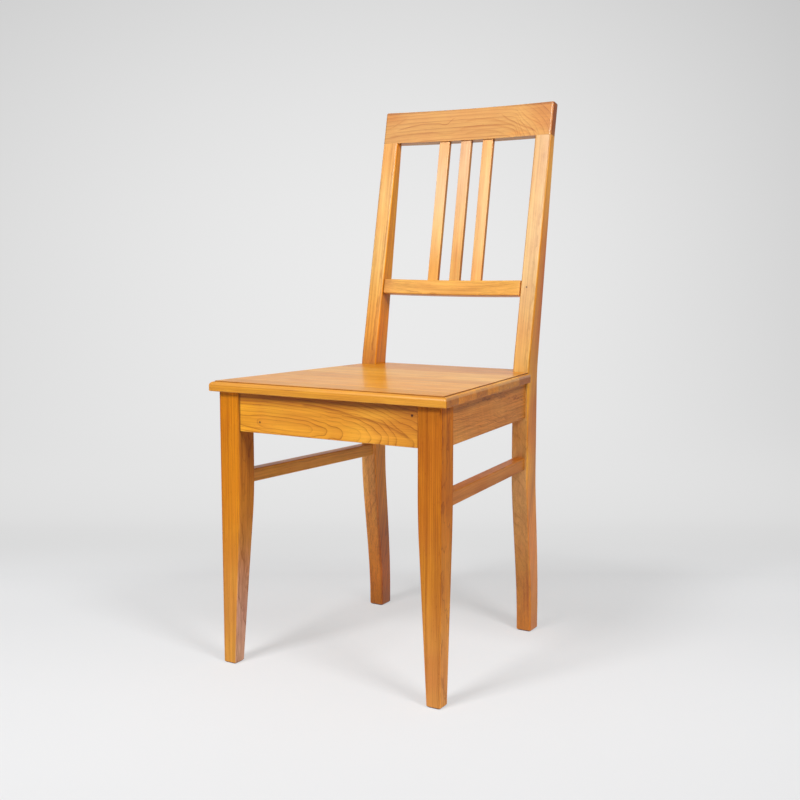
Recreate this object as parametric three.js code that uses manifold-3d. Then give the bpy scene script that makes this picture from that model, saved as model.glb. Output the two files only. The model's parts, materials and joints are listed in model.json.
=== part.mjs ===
// A wooden chair of the kind that stands in rows in a choir: tapered front legs, back legs that
// run up into leaning stiles, a bowed crest and back rail with three slats between them, four
// aprons, two side stretchers and a solid glued-up seat with a moulded edge.
// Lengths are millimetres. X runs to the right of someone facing the chair, Y to its back and
// Z up. The origin lies on the floor under the middle of the chair's outline.
import * as THREE from 'three';
import { mergeVertices, toCreasedNormals } from 'three/addons/utils/BufferGeometryUtils.js';
import Module from 'manifold-3d';

// Whole chair
const seatHeight = 460;
const frontWidth = 400;
const backWidth = 335;
const frameDepth = 404.5;
const jointGap = 0.3;
const overrun = 8;

// Legs
const frontLegEdgeRadius = 2.8;
const backLegEdgeRadius = 3.5;
const footChamfer = 2.2;
const frontLegSize = 39;
const frontFootSize = 23.5;
const taperDrop = 34;
const taperBlend = 42;
const backLegWidth = 30;
const backLegDepth = 39;
const backFootWidth = 27.5;
const backFootDepth = 32;
const kickDrop = 6;
const kickSetback = 26;
const stileLean = 80.8;
const stileRise = 401.6;
const stileTopDepth = 18;
const bendLength = 24;

// Seat
const seatThickness = 16.5;
const seatFrontOverhang = 9.5;
const seatSideOverhang = 13.5;
const seatBackSideOverhang = 6;
const seatBackOverhang = 4;
const seatStepInset = 6.5;
const seatStepDepth = 1.4;
const seatEdgeRadius = 6;
const seatUnderRadius = 1.2;
const seatFrontCornerRadius = 2.5;
const seatBackCornerRadius = 6;
const staveJointShares = [0.111, 0.279, 0.394, 0.508, 0.748];
const backEdgeShare = 0.25;

// Aprons and stretchers
const apronHeight = 62;
const apronThickness = 20;
const apronEdgeRadius = 1.5;
const frontApronRecess = 2;
const backApronRecess = 3;
const sideFrontInset = 6.5;
const sideBackInset = 5;
const apronTenonThickness = 8;
const apronTenonHeight = 42;
const frontTenonLength = 20;
const sideFrontTenonLength = 17;
const sideBackTenonLength = 18;
const backTenonLength = 15;
const stretcherDrop = 68.5;
const stretcherHeight = 21;
const stretcherThickness = 20;
const stretcherEdgeRadius = 2;
const stretcherTenonThickness = 10;
const stretcherTenonHeight = 13;
const stretcherTenonLength = 14;

// Back
const crestHeight = 57.6;
const crestThickness = 18;
const crestBow = 6.5;
const crestEdgeRadius = 2.4;
const crestCornerRadius = 4;
const backRailTop = 157.8;
const backRailHeight = 26.7;
const backRailThickness = 20;
const backRailRecess = 1;
const backRailBow = 8;
const backRailEdgeRadius = 2.6;
const backRailCornerRadius = 4.4;
const backRailTenonThickness = 8;
const backRailTenonHeight = 18;
const backRailTenonLength = 14;
const slatWidth = 20.6;
const slatThickness = 8;
const slatEdgeRadius = 1.2;
const slatTopOffset = 2.2;
const slatPitch = 43.3;
const slatPlaceShares = [-1, 0, 1];
const slatTenonWidth = 15;
const slatTenonThickness = 5;
const slatTenonLength = 10;
const slatRoot = 3;
const dowelDiameter = 8;
const dowelLength = 40;
const dowelSpacing = 14;
const dowelChamfer = 1;

// Corner blocks and screws
const blockReach = 50;
const blockHeight = 30;
const blockScrewSpacing = 26;
const blockScrewBite = 14;
const blockScrewSeat = 9;
const seatScrewReach = 12;
const seatScrewBite = 9.5;
const screwDiameter = 4;
const screwHeadDiameter = 8;
const screwHeadHeight = 2.6;
const screwTipLength = 4;

// How finely curves are divided
const cornerSteps = 3;
const curveSteps = 8;
const bowSteps = 24;
const roundSteps = 14;
const bevelSteps = 3;
const creaseAngle = Math.PI / 5;

const wasm = await Module();
wasm.setup();

const seatUnderside = seatHeight - seatThickness;
const legTop = seatUnderside - jointGap;
const apronBottom = seatUnderside - apronHeight;
const stretcherTop = apronBottom - stretcherDrop;
const stretcherBottom = stretcherTop - stretcherHeight;
const taperHeight = stretcherTop - taperDrop;
const kickHeight = stretcherBottom - kickDrop;
const frontLegOuter = frontWidth / 2;
const frontLegInner = frontLegOuter - frontLegSize;
const backLegOuter = backWidth / 2;
const backLegInner = backLegOuter - backLegWidth;
const backLegFront = frameDepth - backLegDepth;

const woodColours = {
  legs: 0xc9812f,
  stiles: 0xe0a05a,
  crest: 0xdd9f63,
  aprons: 0xd08c3e,
  stretchers: 0xb67845,
  seat: 0xdfa468,
  slats: 0xf0bd84,
  hidden: 0xd8ab7a,
};

function wood(colour) {
  return new THREE.MeshStandardMaterial({ color: colour, roughness: 0.38, metalness: 0 });
}

function steel() {
  return new THREE.MeshStandardMaterial({ color: 0xb9b8b2, roughness: 0.35, metalness: 1 });
}

// Solids and geometries

function toSolid(geometry) {
  const bare = geometry.clone();
  bare.deleteAttribute('normal');
  bare.deleteAttribute('uv');
  const merged = mergeVertices(bare);
  const corners = merged.index.array;
  const triangles = [];
  for (let i = 0; i < corners.length; i += 3) {
    const [a, b, c] = corners.slice(i, i + 3);
    if (a !== b && b !== c && c !== a) {
      triangles.push(a, b, c);
    }
  }
  return new wasm.Manifold(
    new wasm.Mesh({
      numProp: 3,
      vertProperties: Float32Array.from(merged.attributes.position.array),
      triVerts: Uint32Array.from(triangles),
    }),
  );
}

function toGeometry(solid) {
  const mesh = solid.getMesh();
  const geometry = new THREE.BufferGeometry();
  geometry.setAttribute('position', new THREE.BufferAttribute(mesh.vertProperties, 3));
  geometry.setIndex(new THREE.BufferAttribute(mesh.triVerts, 1));
  return geometry;
}

function cut(geometry, cutters) {
  return toGeometry(cutters.reduce((solid, cutter) => solid.subtract(toSolid(cutter)), toSolid(geometry)));
}

function join(geometry, additions) {
  return toGeometry(additions.reduce((solid, added) => solid.add(toSolid(added)), toSolid(geometry)));
}

function trim(geometry, keeper) {
  return toGeometry(toSolid(geometry).intersect(toSolid(keeper)));
}

// A tenon, a mortise and a plain cutter are all boxes between a low and a high corner. A tenon is
// kept as a Box3, so that its mortise is the same box grown by the joint gap.
function span(x, y, z) {
  return new THREE.Box3().setFromPoints([
    new THREE.Vector3(x[0], y[0], z[0]),
    new THREE.Vector3(x[1], y[1], z[1]),
  ]);
}

function block(box) {
  const size = box.getSize(new THREE.Vector3());
  const centre = box.getCenter(new THREE.Vector3());
  return new THREE.BoxGeometry(size.x, size.y, size.z).translate(centre.x, centre.y, centre.z);
}

function mortise(tenon) {
  return block(tenon.clone().expandByScalar(jointGap));
}

function around(middle, size) {
  return [middle - size / 2, middle + size / 2];
}

function mirrored(geometry) {
  const copy = geometry.index ? geometry.clone() : mergeVertices(geometry);
  copy.scale(-1, 1, 1);
  const corners = copy.index.array;
  for (let i = 0; i < corners.length; i += 3) {
    [corners[i], corners[i + 1]] = [corners[i + 1], corners[i]];
  }
  return copy;
}

// Rings of equally many points, each running anticlockwise seen from above, become one closed
// body with a face between each pair of rings and a fan at either end.
function loft(rings) {
  const count = rings[0].length;
  const index = [];
  for (let level = 0; level + 1 < rings.length; level += 1) {
    for (let i = 0; i < count; i += 1) {
      const a = level * count + i;
      const b = level * count + ((i + 1) % count);
      index.push(a, b, b + count, a, b + count, a + count);
    }
  }
  const last = (rings.length - 1) * count;
  for (let i = 1; i + 1 < count; i += 1) {
    index.push(0, i + 1, i);
    index.push(last, last + i, last + i + 1);
  }
  const geometry = new THREE.BufferGeometry().setFromPoints(rings.flat());
  geometry.setIndex(index);
  return geometry;
}

// One ring of a leg: a rectangle with rounded corners between a front and a back point of the
// side outline, each given as (y, z), and between a left and a right face, each given as x.
function legRing(front, back, left, right, radius, inset = 0) {
  const along = new THREE.Vector2().subVectors(back, front);
  const depth = along.length();
  along.normalize();
  const centres = [
    [right - inset - radius, depth - inset - radius],
    [left + inset + radius, depth - inset - radius],
    [left + inset + radius, inset + radius],
    [right - inset - radius, inset + radius],
  ];
  return centres.flatMap(([x, y], quarter) =>
    Array.from({ length: cornerSteps + 1 }, (_, step) => {
      const angle = (Math.PI / 2) * (quarter + step / cornerSteps);
      const deep = y + radius * Math.sin(angle);
      return new THREE.Vector3(
        x + radius * Math.cos(angle),
        front.x + deep * along.x,
        front.y + deep * along.y,
      );
    }),
  );
}

// Front leg: square above the stretcher, then its inner and back faces taper to the foot.

function frontLeg(mortises) {
  const taper = (frontLegSize - frontFootSize) / taperHeight;
  const outline = new THREE.Path();
  outline.moveTo(frontFootSize + taper * footChamfer, footChamfer);
  outline.lineTo(frontLegSize - taper * taperBlend, taperHeight - taperBlend);
  outline.quadraticCurveTo(frontLegSize, taperHeight, frontLegSize, taperHeight + taperBlend);
  outline.lineTo(frontLegSize, legTop);
  const ringAt = (size, z, inset) =>
    legRing(
      new THREE.Vector2(0, z),
      new THREE.Vector2(size, z),
      frontLegOuter - size,
      frontLegOuter,
      frontLegEdgeRadius,
      inset,
    );
  const rings = outline.getPoints(curveSteps).map((point) => ringAt(point.x, point.y));
  return cut(loft([ringAt(frontFootSize, 0, footChamfer), ...rings]), mortises);
}

// Back leg: one piece that kicks back below the seat, bends at the seat and leans back above it,
// thinning towards the crest rail. Its side outline is drawn in (y, z).

const lean = Math.atan2(stileLean, stileRise);
const stileLength = Math.hypot(stileLean, stileRise);
const upStile = new THREE.Vector2(Math.sin(lean), Math.cos(lean));
const acrossStile = new THREE.Vector2(Math.cos(lean), -Math.sin(lean));
const bendFront = new THREE.Vector2(backLegFront, seatHeight);
const bendBack = new THREE.Vector2(frameDepth, seatHeight);
const stileTopFront = bendFront.clone().addScaledVector(upStile, stileLength);
const stileTopBack = stileTopFront.clone().addScaledVector(acrossStile, stileTopDepth);

// Each face kicks back along a curve whose two inner control points lie at these shares of the
// kick's height, the lower one at the last share of its setback.
const frontKickShares = [0.76, 0.33, 1.08];
const backKickShares = [0.8, 0.42, 1.14];

function backLegFace(footY, bend, top, kickShares) {
  const [upperShare, lowerShare, setbackShare] = kickShares;
  const setback = footY - bend.x;
  const afterBend = new THREE.Vector2().subVectors(top, bend).setLength(bendLength).add(bend);
  const face = new THREE.Path();
  face.moveTo(footY, footChamfer);
  face.bezierCurveTo(
    bend.x + setback * setbackShare,
    kickHeight * lowerShare,
    bend.x,
    kickHeight * upperShare,
    bend.x,
    kickHeight,
  );
  face.lineTo(bend.x, bend.y - bendLength);
  face.quadraticCurveTo(bend.x, bend.y, afterBend.x, afterBend.y);
  face.lineTo(top.x, top.y);
  return face.getPoints(curveSteps);
}

function backLeg(mortises) {
  const footFront = backLegFront + kickSetback;
  const footBack = footFront + backFootDepth;
  const front = backLegFace(footFront, bendFront, stileTopFront, frontKickShares);
  const back = backLegFace(footBack, bendBack, stileTopBack, backKickShares);
  const footThinning = (backLegWidth - backFootWidth) / 2;
  const thinningAt = (z) => footThinning * Math.max(0, 1 - z / kickHeight);
  const ringAt = (frontPoint, backPoint, inset) => {
    const thinning = thinningAt(frontPoint.y);
    return legRing(
      frontPoint,
      backPoint,
      backLegInner + thinning,
      backLegOuter - thinning,
      backLegEdgeRadius,
      inset,
    );
  };
  const foot = ringAt(new THREE.Vector2(footFront, 0), new THREE.Vector2(footBack, 0), footChamfer);
  return cut(loft([foot, ...front.map((point, i) => ringAt(point, back[i]))]), mortises);
}

// Aprons and stretchers: a section run along a straight line in plan. The section's X goes from
// the outer face to the inner one of a piece that runs anticlockwise round the frame, and its Y
// goes up.

function railSection(thickness, height, radius, roundTop) {
  const section = new THREE.Shape();
  section.absarc(thickness - radius, radius, radius, -Math.PI / 2, 0);
  if (roundTop) {
    section.absarc(thickness - radius, height - radius, radius, 0, Math.PI / 2);
    section.absarc(radius, height - radius, radius, Math.PI / 2, Math.PI);
  } else {
    section.lineTo(thickness, height);
    section.lineTo(0, height);
  }
  section.absarc(radius, radius, radius, Math.PI, (Math.PI * 3) / 2);
  return section;
}

function rail(section, start, end) {
  const along = new THREE.Vector3().subVectors(end, start);
  const length = along.length();
  along.normalize();
  const up = new THREE.Vector3(0, 0, 1);
  const inward = new THREE.Vector3().crossVectors(up, along);
  const geometry = new THREE.ExtrudeGeometry(section, {
    depth: length,
    bevelEnabled: false,
    curveSegments: cornerSteps,
  });
  const placing = new THREE.Matrix4().makeBasis(inward, up, along).setPosition(start);
  return geometry.applyMatrix4(placing);
}

// The outer face of the side rails in plan, which runs in towards the back.
const sideFront = new THREE.Vector2(frontLegOuter - sideFrontInset, frontLegSize);
const sideBack = new THREE.Vector2(backLegOuter - sideBackInset, backLegFront);
const sideSlope = (sideBack.x - sideFront.x) / (sideBack.y - sideFront.y);
const sideStretch = Math.hypot(1, sideSlope);

function sideFaceAt(y, depth = 0) {
  return sideFront.x + (y - sideFront.y) * sideSlope - depth * sideStretch;
}

function sideRail(section, bottom, tenons) {
  const before = sideFront.y - overrun;
  const beyond = sideBack.y + overrun;
  const whole = rail(
    section,
    new THREE.Vector3(sideFaceAt(before), before, bottom),
    new THREE.Vector3(sideFaceAt(beyond), beyond, bottom),
  );
  const betweenLegs = block(
    span([0, frontWidth], [sideFront.y + jointGap, sideBack.y - jointGap], [0, seatHeight]),
  );
  return join(trim(whole, betweenLegs), tenons.map(block));
}

function crossRail(section, face, halfLength, tenon) {
  const half = halfLength - jointGap;
  const body = rail(
    section,
    new THREE.Vector3(-half, face, apronBottom),
    new THREE.Vector3(half, face, apronBottom),
  );
  return join(body, [block(tenon), mirrored(block(tenon))]);
}

// Tenons of the right-hand joints. A side rail's tenons lie square to the legs.

const apronBody = legTop - apronBottom;
const apronTenonRange = around(apronBottom + apronBody / 2, apronTenonHeight);
const backApronFace = frameDepth - backApronRecess - apronThickness;

const frontApronTenon = span(
  [frontLegInner - overrun, frontLegInner + frontTenonLength],
  around(frontApronRecess + apronThickness / 2, apronTenonThickness),
  apronTenonRange,
);
const backApronTenon = span(
  [backLegInner - overrun, backLegInner + backTenonLength],
  around(backApronFace + apronThickness / 2, apronTenonThickness),
  apronTenonRange,
);

function sideTenons(thickness, tenonThickness, range, frontLength, backLength) {
  return {
    front: span(
      around(sideFaceAt(sideFront.y, thickness / 2), tenonThickness),
      [sideFront.y - frontLength, sideFront.y + overrun],
      range,
    ),
    back: span(
      around(sideFaceAt(sideBack.y, thickness / 2), tenonThickness),
      [sideBack.y - overrun, sideBack.y + backLength],
      range,
    ),
  };
}

const sideApronTenons = sideTenons(
  apronThickness,
  apronTenonThickness,
  apronTenonRange,
  sideFrontTenonLength,
  sideBackTenonLength,
);
const stretcherTenons = sideTenons(
  stretcherThickness,
  stretcherTenonThickness,
  around((stretcherTop + stretcherBottom) / 2, stretcherTenonHeight),
  stretcherTenonLength,
  stretcherTenonLength,
);

// Screws, dowels and their holes are turned about the Z axis.

function turned(points) {
  const profile = points.map(([radius, z]) => new THREE.Vector2(radius, z));
  return new THREE.LatheGeometry(profile, roundSteps).rotateX(Math.PI / 2);
}

function screw(length) {
  return turned([
    [0, 0],
    [screwHeadDiameter / 2, 0],
    [screwDiameter / 2, screwHeadHeight],
    [screwDiameter / 2, length - screwTipLength],
    [0, length],
  ]);
}

function screwHole(length, wayIn) {
  const shank = screwDiameter / 2 + jointGap;
  const head = screwHeadDiameter / 2 + jointGap;
  return turned([
    [0, -wayIn],
    [head, -wayIn],
    [head, 0],
    [shank, screwHeadHeight],
    [shank, length + jointGap],
    [0, length + jointGap],
  ]);
}

function dowel() {
  const radius = dowelDiameter / 2;
  const half = dowelLength / 2;
  return turned([
    [0, -half],
    [radius - dowelChamfer, -half],
    [radius, -half + dowelChamfer],
    [radius, half - dowelChamfer],
    [radius - dowelChamfer, half],
    [0, half],
  ]);
}

function dowelHole() {
  const radius = dowelDiameter / 2 + jointGap;
  const half = dowelLength / 2 + jointGap;
  return turned([
    [0, -half],
    [radius, -half],
    [radius, half],
    [0, half],
  ]);
}

// Corner blocks: each fills the inside corner between an apron and a side apron and stops at the
// leg. A corner is given by the apron's inner face and by the leg's inner side and inner front
// or back, each a joint gap away, and by which way along Y the leg looks into the frame.

const frontCorner = {
  wall: frontApronRecess + apronThickness + jointGap,
  legX: frontLegInner - jointGap,
  legY: frontLegSize + jointGap,
  inward: 1,
};
const backCorner = {
  wall: backApronFace - jointGap,
  legX: backLegInner - jointGap,
  legY: backLegFront - jointGap,
  inward: -1,
};
const blockLow = legTop - blockHeight;

function sideWallAt(y) {
  return sideFaceAt(y, apronThickness) - jointGap * sideStretch;
}

function cornerBlock({ wall, legX, legY, inward }) {
  const far = legY + inward * blockReach;
  const plan = new THREE.Shape([
    new THREE.Vector2(legX - blockReach, wall),
    new THREE.Vector2(legX, wall),
    new THREE.Vector2(legX, legY),
    new THREE.Vector2(sideWallAt(legY), legY),
    new THREE.Vector2(sideWallAt(far), far),
  ]);
  const geometry = new THREE.ExtrudeGeometry(plan, { depth: blockHeight, bevelEnabled: false });
  return geometry.translate(0, 0, blockLow);
}

// Each block takes one screw into the apron, one into the side apron and one up into the seat.
// A placing puts a screw's head where it bears and turns its axis to its way in. The side is 1
// on the right and -1 on the left.
function screwPlacings({ wall, legX, legY, inward }, side) {
  const middle = blockLow + blockHeight / 2;
  const sideY = legY + inward * blockScrewSpacing;
  const sideX = sideWallAt(sideY) - blockScrewSeat * sideStretch;
  return {
    apron: new THREE.Matrix4()
      .makeRotationX((inward * Math.PI) / 2)
      .setPosition(side * (legX - blockScrewSpacing), wall + inward * blockScrewSeat, middle),
    side: new THREE.Matrix4()
      .makeRotationZ(-side * Math.atan(sideSlope))
      .multiply(new THREE.Matrix4().makeRotationY((side * Math.PI) / 2))
      .setPosition(side * sideX, sideY, middle),
    seat: new THREE.Matrix4()
      .setPosition(side * (legX - seatScrewReach), legY + inward * seatScrewReach, blockLow),
  };
}

const blockScrewLength = blockScrewSeat + jointGap + blockScrewBite;
const seatScrewLength = blockHeight + jointGap + seatScrewBite;
const blockScrewHole = () => screwHole(blockScrewLength, blockReach);
const seatScrewHole = () => screwHole(seatScrewLength, overrun);

function cornerHoles(corner, side) {
  const placings = screwPlacings(corner, side);
  return {
    apron: blockScrewHole().applyMatrix4(placings.apron),
    side: blockScrewHole().applyMatrix4(placings.side),
    seat: seatScrewHole().applyMatrix4(placings.seat),
  };
}

// Back: drawn in a frame that leans with the stiles. Its origin is at seat height on their front
// faces, its Z runs up them and its Y goes back through them.

const backFrame = new THREE.Group();
backFrame.position.set(0, backLegFront, seatHeight);
backFrame.rotation.x = -lean;
backFrame.updateMatrix();

const crestBottom = stileLength + jointGap;
const dowelMiddle = stileLength + jointGap / 2;
const stileMiddle = backLegOuter - backLegWidth / 2;
const backRailBottom = backRailTop - backRailHeight;
const backRailMiddle = backRailRecess + backRailThickness / 2;

// A rail whose faces bow back between its ends, with every edge rounded. Its upright corners
// have a radius of their own, which is larger than that of its edges.
function bowedRail(half, front, thickness, bow, height, edgeRadius, radius) {
  const corner = (start, control, end) =>
    new THREE.QuadraticBezierCurve(
      new THREE.Vector2(...start),
      new THREE.Vector2(...control),
      new THREE.Vector2(...end),
    ).getPoints(cornerSteps);
  const bowed = (y, from, to) =>
    new THREE.QuadraticBezierCurve(
      new THREE.Vector2(from, y),
      new THREE.Vector2(0, y + bow * 2),
      new THREE.Vector2(to, y),
    ).getPoints(bowSteps);
  const back = front + thickness;
  const plan = new THREE.Shape([
    ...bowed(front, -half + radius, half - radius).slice(1, -1),
    ...corner([half - radius, front], [half, front], [half, front + radius]),
    ...corner([half, back - radius], [half, back], [half - radius, back]),
    ...bowed(back, half - radius, -half + radius).slice(1, -1),
    ...corner([-half + radius, back], [-half, back], [-half, back - radius]),
    ...corner([-half, front + radius], [-half, front], [-half + radius, front]),
  ]);
  const geometry = new THREE.ExtrudeGeometry(plan, {
    depth: height - edgeRadius * 2,
    bevelThickness: edgeRadius,
    bevelSize: edgeRadius,
    bevelOffset: -edgeRadius,
    bevelSegments: bevelSteps,
  });
  return geometry.translate(0, 0, edgeRadius);
}

function bowAt(x, half, bow) {
  return bow * (1 - (x / half) ** 2);
}

// A slat stands on the middle of the back rail and meets the crest rail a little in front of its
// middle, so it leans slightly less than the stiles.
function slatFootAt(x) {
  return backRailMiddle + bowAt(x, backLegInner, backRailBow);
}

function slatHeadAt(x) {
  return crestThickness / 2 + bowAt(x, backLegOuter, crestBow) - slatTopOffset;
}

function slatTenon(x, middle, range) {
  return span(around(x, slatTenonWidth), around(middle, slatTenonThickness), range);
}

const slatLow = backRailTop + jointGap;
const slatHigh = crestBottom - jointGap;
const slatPlaces = slatPlaceShares.map((share) => share * slatPitch);
const lowerSlatTenons = slatPlaces.map((x) =>
  slatTenon(x, slatFootAt(x), [slatLow - slatTenonLength, slatLow + slatRoot]),
);
const upperSlatTenons = slatPlaces.map((x) =>
  slatTenon(x, slatHeadAt(x), [slatHigh - slatRoot, slatHigh + slatTenonLength]),
);

const backRailTenon = span(
  [backLegInner - overrun, backLegInner + backRailTenonLength],
  around(backRailMiddle, backRailTenonThickness),
  around(backRailTop - backRailHeight / 2, backRailTenonHeight),
);

const dowelPlaces = [-1, 1].flatMap((side) =>
  around(side * stileMiddle, dowelSpacing).map(
    (x) => new THREE.Vector3(x, stileTopDepth / 2, dowelMiddle),
  ),
);

function dowelHoleAt({ x, y, z }) {
  return dowelHole().translate(x, y, z);
}

function crestRail() {
  const whole = bowedRail(
    backLegOuter,
    0,
    crestThickness,
    crestBow,
    crestHeight + overrun,
    crestEdgeRadius,
    crestCornerRadius,
  ).translate(0, 0, crestBottom - overrun);
  const aboveStiles = block(
    span(
      [-backWidth, backWidth],
      [-backWidth, backWidth],
      [crestBottom, crestBottom + crestHeight + overrun],
    ),
  );
  const holes = [...upperSlatTenons.map(mortise), ...dowelPlaces.map(dowelHoleAt)];
  return cut(trim(whole, aboveStiles), holes);
}

function backRail() {
  const body = bowedRail(
    backLegInner - jointGap,
    backRailRecess,
    backRailThickness,
    backRailBow,
    backRailHeight,
    backRailEdgeRadius,
    backRailCornerRadius,
  ).translate(0, 0, backRailBottom);
  const tenoned = join(body, [block(backRailTenon), mirrored(block(backRailTenon))]);
  return cut(tenoned, lowerSlatTenons.map(mortise));
}

function backSlat(i) {
  const x = slatPlaces[i];
  const section = railSection(slatThickness, slatWidth, slatEdgeRadius, true);
  const body = new THREE.ExtrudeGeometry(section, {
    depth: slatHigh - slatLow,
    bevelEnabled: false,
    curveSegments: cornerSteps,
  });
  const slope = (slatHeadAt(x) - slatFootAt(x)) / (slatHigh - slatLow);
  body.rotateZ(Math.PI / 2);
  body.applyMatrix4(new THREE.Matrix4().makeShear(0, 0, 0, 0, 0, slope));
  body.translate(x + slatWidth / 2, slatFootAt(x) - slatThickness / 2, slatLow);
  return join(body, [block(lowerSlatTenons[i]), block(upperSlatTenons[i])]);
}

// Seat: staves glued edge to edge, cut from one moulded board. It is drawn with Z at its underside.

const seatFront = -seatFrontOverhang;
const seatBack = frameDepth + seatBackOverhang;
const seatFrontHalf = frontLegOuter + seatSideOverhang;
const seatBackHalf = backLegOuter + seatBackSideOverhang;
const seatSlope = (seatBackHalf - seatFrontHalf) / (backLegFront - seatFront);
const seatStretch = Math.hypot(1, seatSlope);

function seatHalfAt(y, inset = 0) {
  return seatFrontHalf + (y - seatFront) * seatSlope - inset * seatStretch;
}

function seatRing(inset, z) {
  const front = seatFront + inset;
  const back = seatBack - inset * backEdgeShare;
  const round = front + seatFrontCornerRadius;
  const corner = new THREE.QuadraticBezierCurve(
    new THREE.Vector2(seatHalfAt(front, inset) - seatFrontCornerRadius, front),
    new THREE.Vector2(seatHalfAt(front, inset), front),
    new THREE.Vector2(seatHalfAt(round, inset), round),
  );
  const right = [
    ...corner.getPoints(cornerSteps),
    new THREE.Vector2(seatHalfAt(back, inset), back),
  ];
  const left = right.map(({ x, y }) => new THREE.Vector2(-x, y)).reverse();
  return [...right, ...left].map(({ x, y }) => new THREE.Vector3(x, y, z));
}

// The edge profile from the underside up: a small round, the upright edge, a quarter round and
// a step up to the flat top. X is how far it lies inside the outline.
function seatEdge() {
  const shoulder = seatThickness - seatStepDepth;
  const edge = new THREE.Path();
  edge.absarc(seatUnderRadius, seatUnderRadius, seatUnderRadius, -Math.PI / 2, -Math.PI, true);
  edge.absarc(seatEdgeRadius, shoulder - seatEdgeRadius, seatEdgeRadius, Math.PI, Math.PI / 2, true);
  edge.lineTo(seatStepInset, shoulder);
  edge.lineTo(seatStepInset, seatThickness);
  return edge.getPoints(cornerSteps);
}

// The room for the right stile, whose corner with the seat's side is rounded.
function stileNotch() {
  const front = backLegFront - jointGap;
  const inner = backLegInner - jointGap;
  const turn = front - seatBackCornerRadius;
  const outer = seatHalfAt(turn);
  const beyond = outer + overrun;
  const plan = new THREE.Shape();
  plan.moveTo(inner, front);
  plan.lineTo(seatHalfAt(front) - seatBackCornerRadius, front);
  plan.quadraticCurveTo(seatHalfAt(front), front, outer, turn);
  plan.lineTo(beyond, turn);
  plan.lineTo(beyond, seatBack + overrun);
  plan.lineTo(inner, seatBack + overrun);
  const depth = seatThickness + overrun * 2;
  const geometry = new THREE.ExtrudeGeometry(plan, {
    depth,
    bevelEnabled: false,
    curveSegments: cornerSteps,
  });
  return geometry.translate(0, 0, -overrun);
}

function seatStaves(screwHoles) {
  const rings = seatEdge().map(({ x: inset, y: z }) => seatRing(inset, z));
  const holes = screwHoles.map((hole) => hole.translate(0, 0, -seatUnderside));
  const board = cut(loft(rings), [stileNotch(), mirrored(stileNotch()), ...holes]);
  const joints = staveJointShares.map((share) => seatFront + share * (seatBack - seatFront));
  const limits = [seatFront - overrun, ...joints, seatBack + overrun];
  return joints.concat(seatBack).map((_, i) => {
    const stave = span(
      [-seatFrontHalf - overrun, seatFrontHalf + overrun],
      [limits[i], limits[i + 1]],
      [-overrun, seatThickness + overrun],
    );
    return trim(board, block(stave));
  });
}

// Assembly. Left and right are those of someone who faces the chair. Each mesh has its own
// origin, at the lowest middle point of its solid, except the staves, which share the seat's.

const chair = new THREE.Group();
const seat = new THREE.Group();
seat.position.z = seatUnderside;
chair.add(seat, backFrame);

function addPiece(parent, name, geometry, material) {
  const mesh = new THREE.Mesh(toCreasedNormals(geometry, creaseAngle), material);
  mesh.name = name;
  parent.add(mesh);
  return mesh;
}

function addStanding(parent, name, geometry, material) {
  geometry.computeBoundingBox();
  const { min, max } = geometry.boundingBox;
  const origin = new THREE.Vector3((min.x + max.x) / 2, (min.y + max.y) / 2, min.z);
  geometry.translate(-origin.x, -origin.y, -origin.z);
  addPiece(parent, name, geometry, material).position.copy(origin);
}

// A piece with a copy of the other hand, both drawn in the chair's frame.
function addPair(parent, name, geometry, makeMaterial) {
  addStanding(parent, `${name}_left`, mirrored(geometry), makeMaterial());
  addStanding(parent, `${name}_right`, geometry, makeMaterial());
}

function addPlaced(parent, name, geometry, material, placing) {
  const mesh = addPiece(parent, name, geometry, material);
  placing.decompose(mesh.position, mesh.quaternion, mesh.scale);
}

const frontHoles = { left: cornerHoles(frontCorner, -1), right: cornerHoles(frontCorner, 1) };
const backHoles = { left: cornerHoles(backCorner, -1), right: cornerHoles(backCorner, 1) };

addPair(
  chair,
  'front_leg',
  frontLeg([frontApronTenon, sideApronTenons.front, stretcherTenons.front].map(mortise)),
  () => wood(woodColours.legs),
);
addPair(
  chair,
  'back_leg',
  backLeg([
    ...[backApronTenon, sideApronTenons.back, stretcherTenons.back].map(mortise),
    mortise(backRailTenon).applyMatrix4(backFrame.matrix),
    ...dowelPlaces
      .filter(({ x }) => x > 0)
      .map((place) => dowelHoleAt(place).applyMatrix4(backFrame.matrix)),
  ]),
  () => wood(woodColours.stiles),
);

const apronSection = railSection(apronThickness, apronBody, apronEdgeRadius, false);
addStanding(
  chair,
  'front_apron',
  cut(
    crossRail(apronSection, frontApronRecess, frontLegInner, frontApronTenon),
    [frontHoles.left.apron, frontHoles.right.apron],
  ),
  wood(woodColours.aprons),
);
addStanding(
  chair,
  'rear_apron',
  cut(
    crossRail(apronSection, backApronFace, backLegInner, backApronTenon),
    [backHoles.left.apron, backHoles.right.apron],
  ),
  wood(woodColours.aprons),
);
addPair(
  chair,
  'side_apron',
  cut(
    sideRail(apronSection, apronBottom, [sideApronTenons.front, sideApronTenons.back]),
    [frontHoles.right.side, backHoles.right.side],
  ),
  () => wood(woodColours.aprons),
);
addPair(
  chair,
  'side_stretcher',
  sideRail(
    railSection(stretcherThickness, stretcherHeight, stretcherEdgeRadius, true),
    stretcherBottom,
    [stretcherTenons.front, stretcherTenons.back],
  ),
  () => wood(woodColours.stretchers),
);

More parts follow.
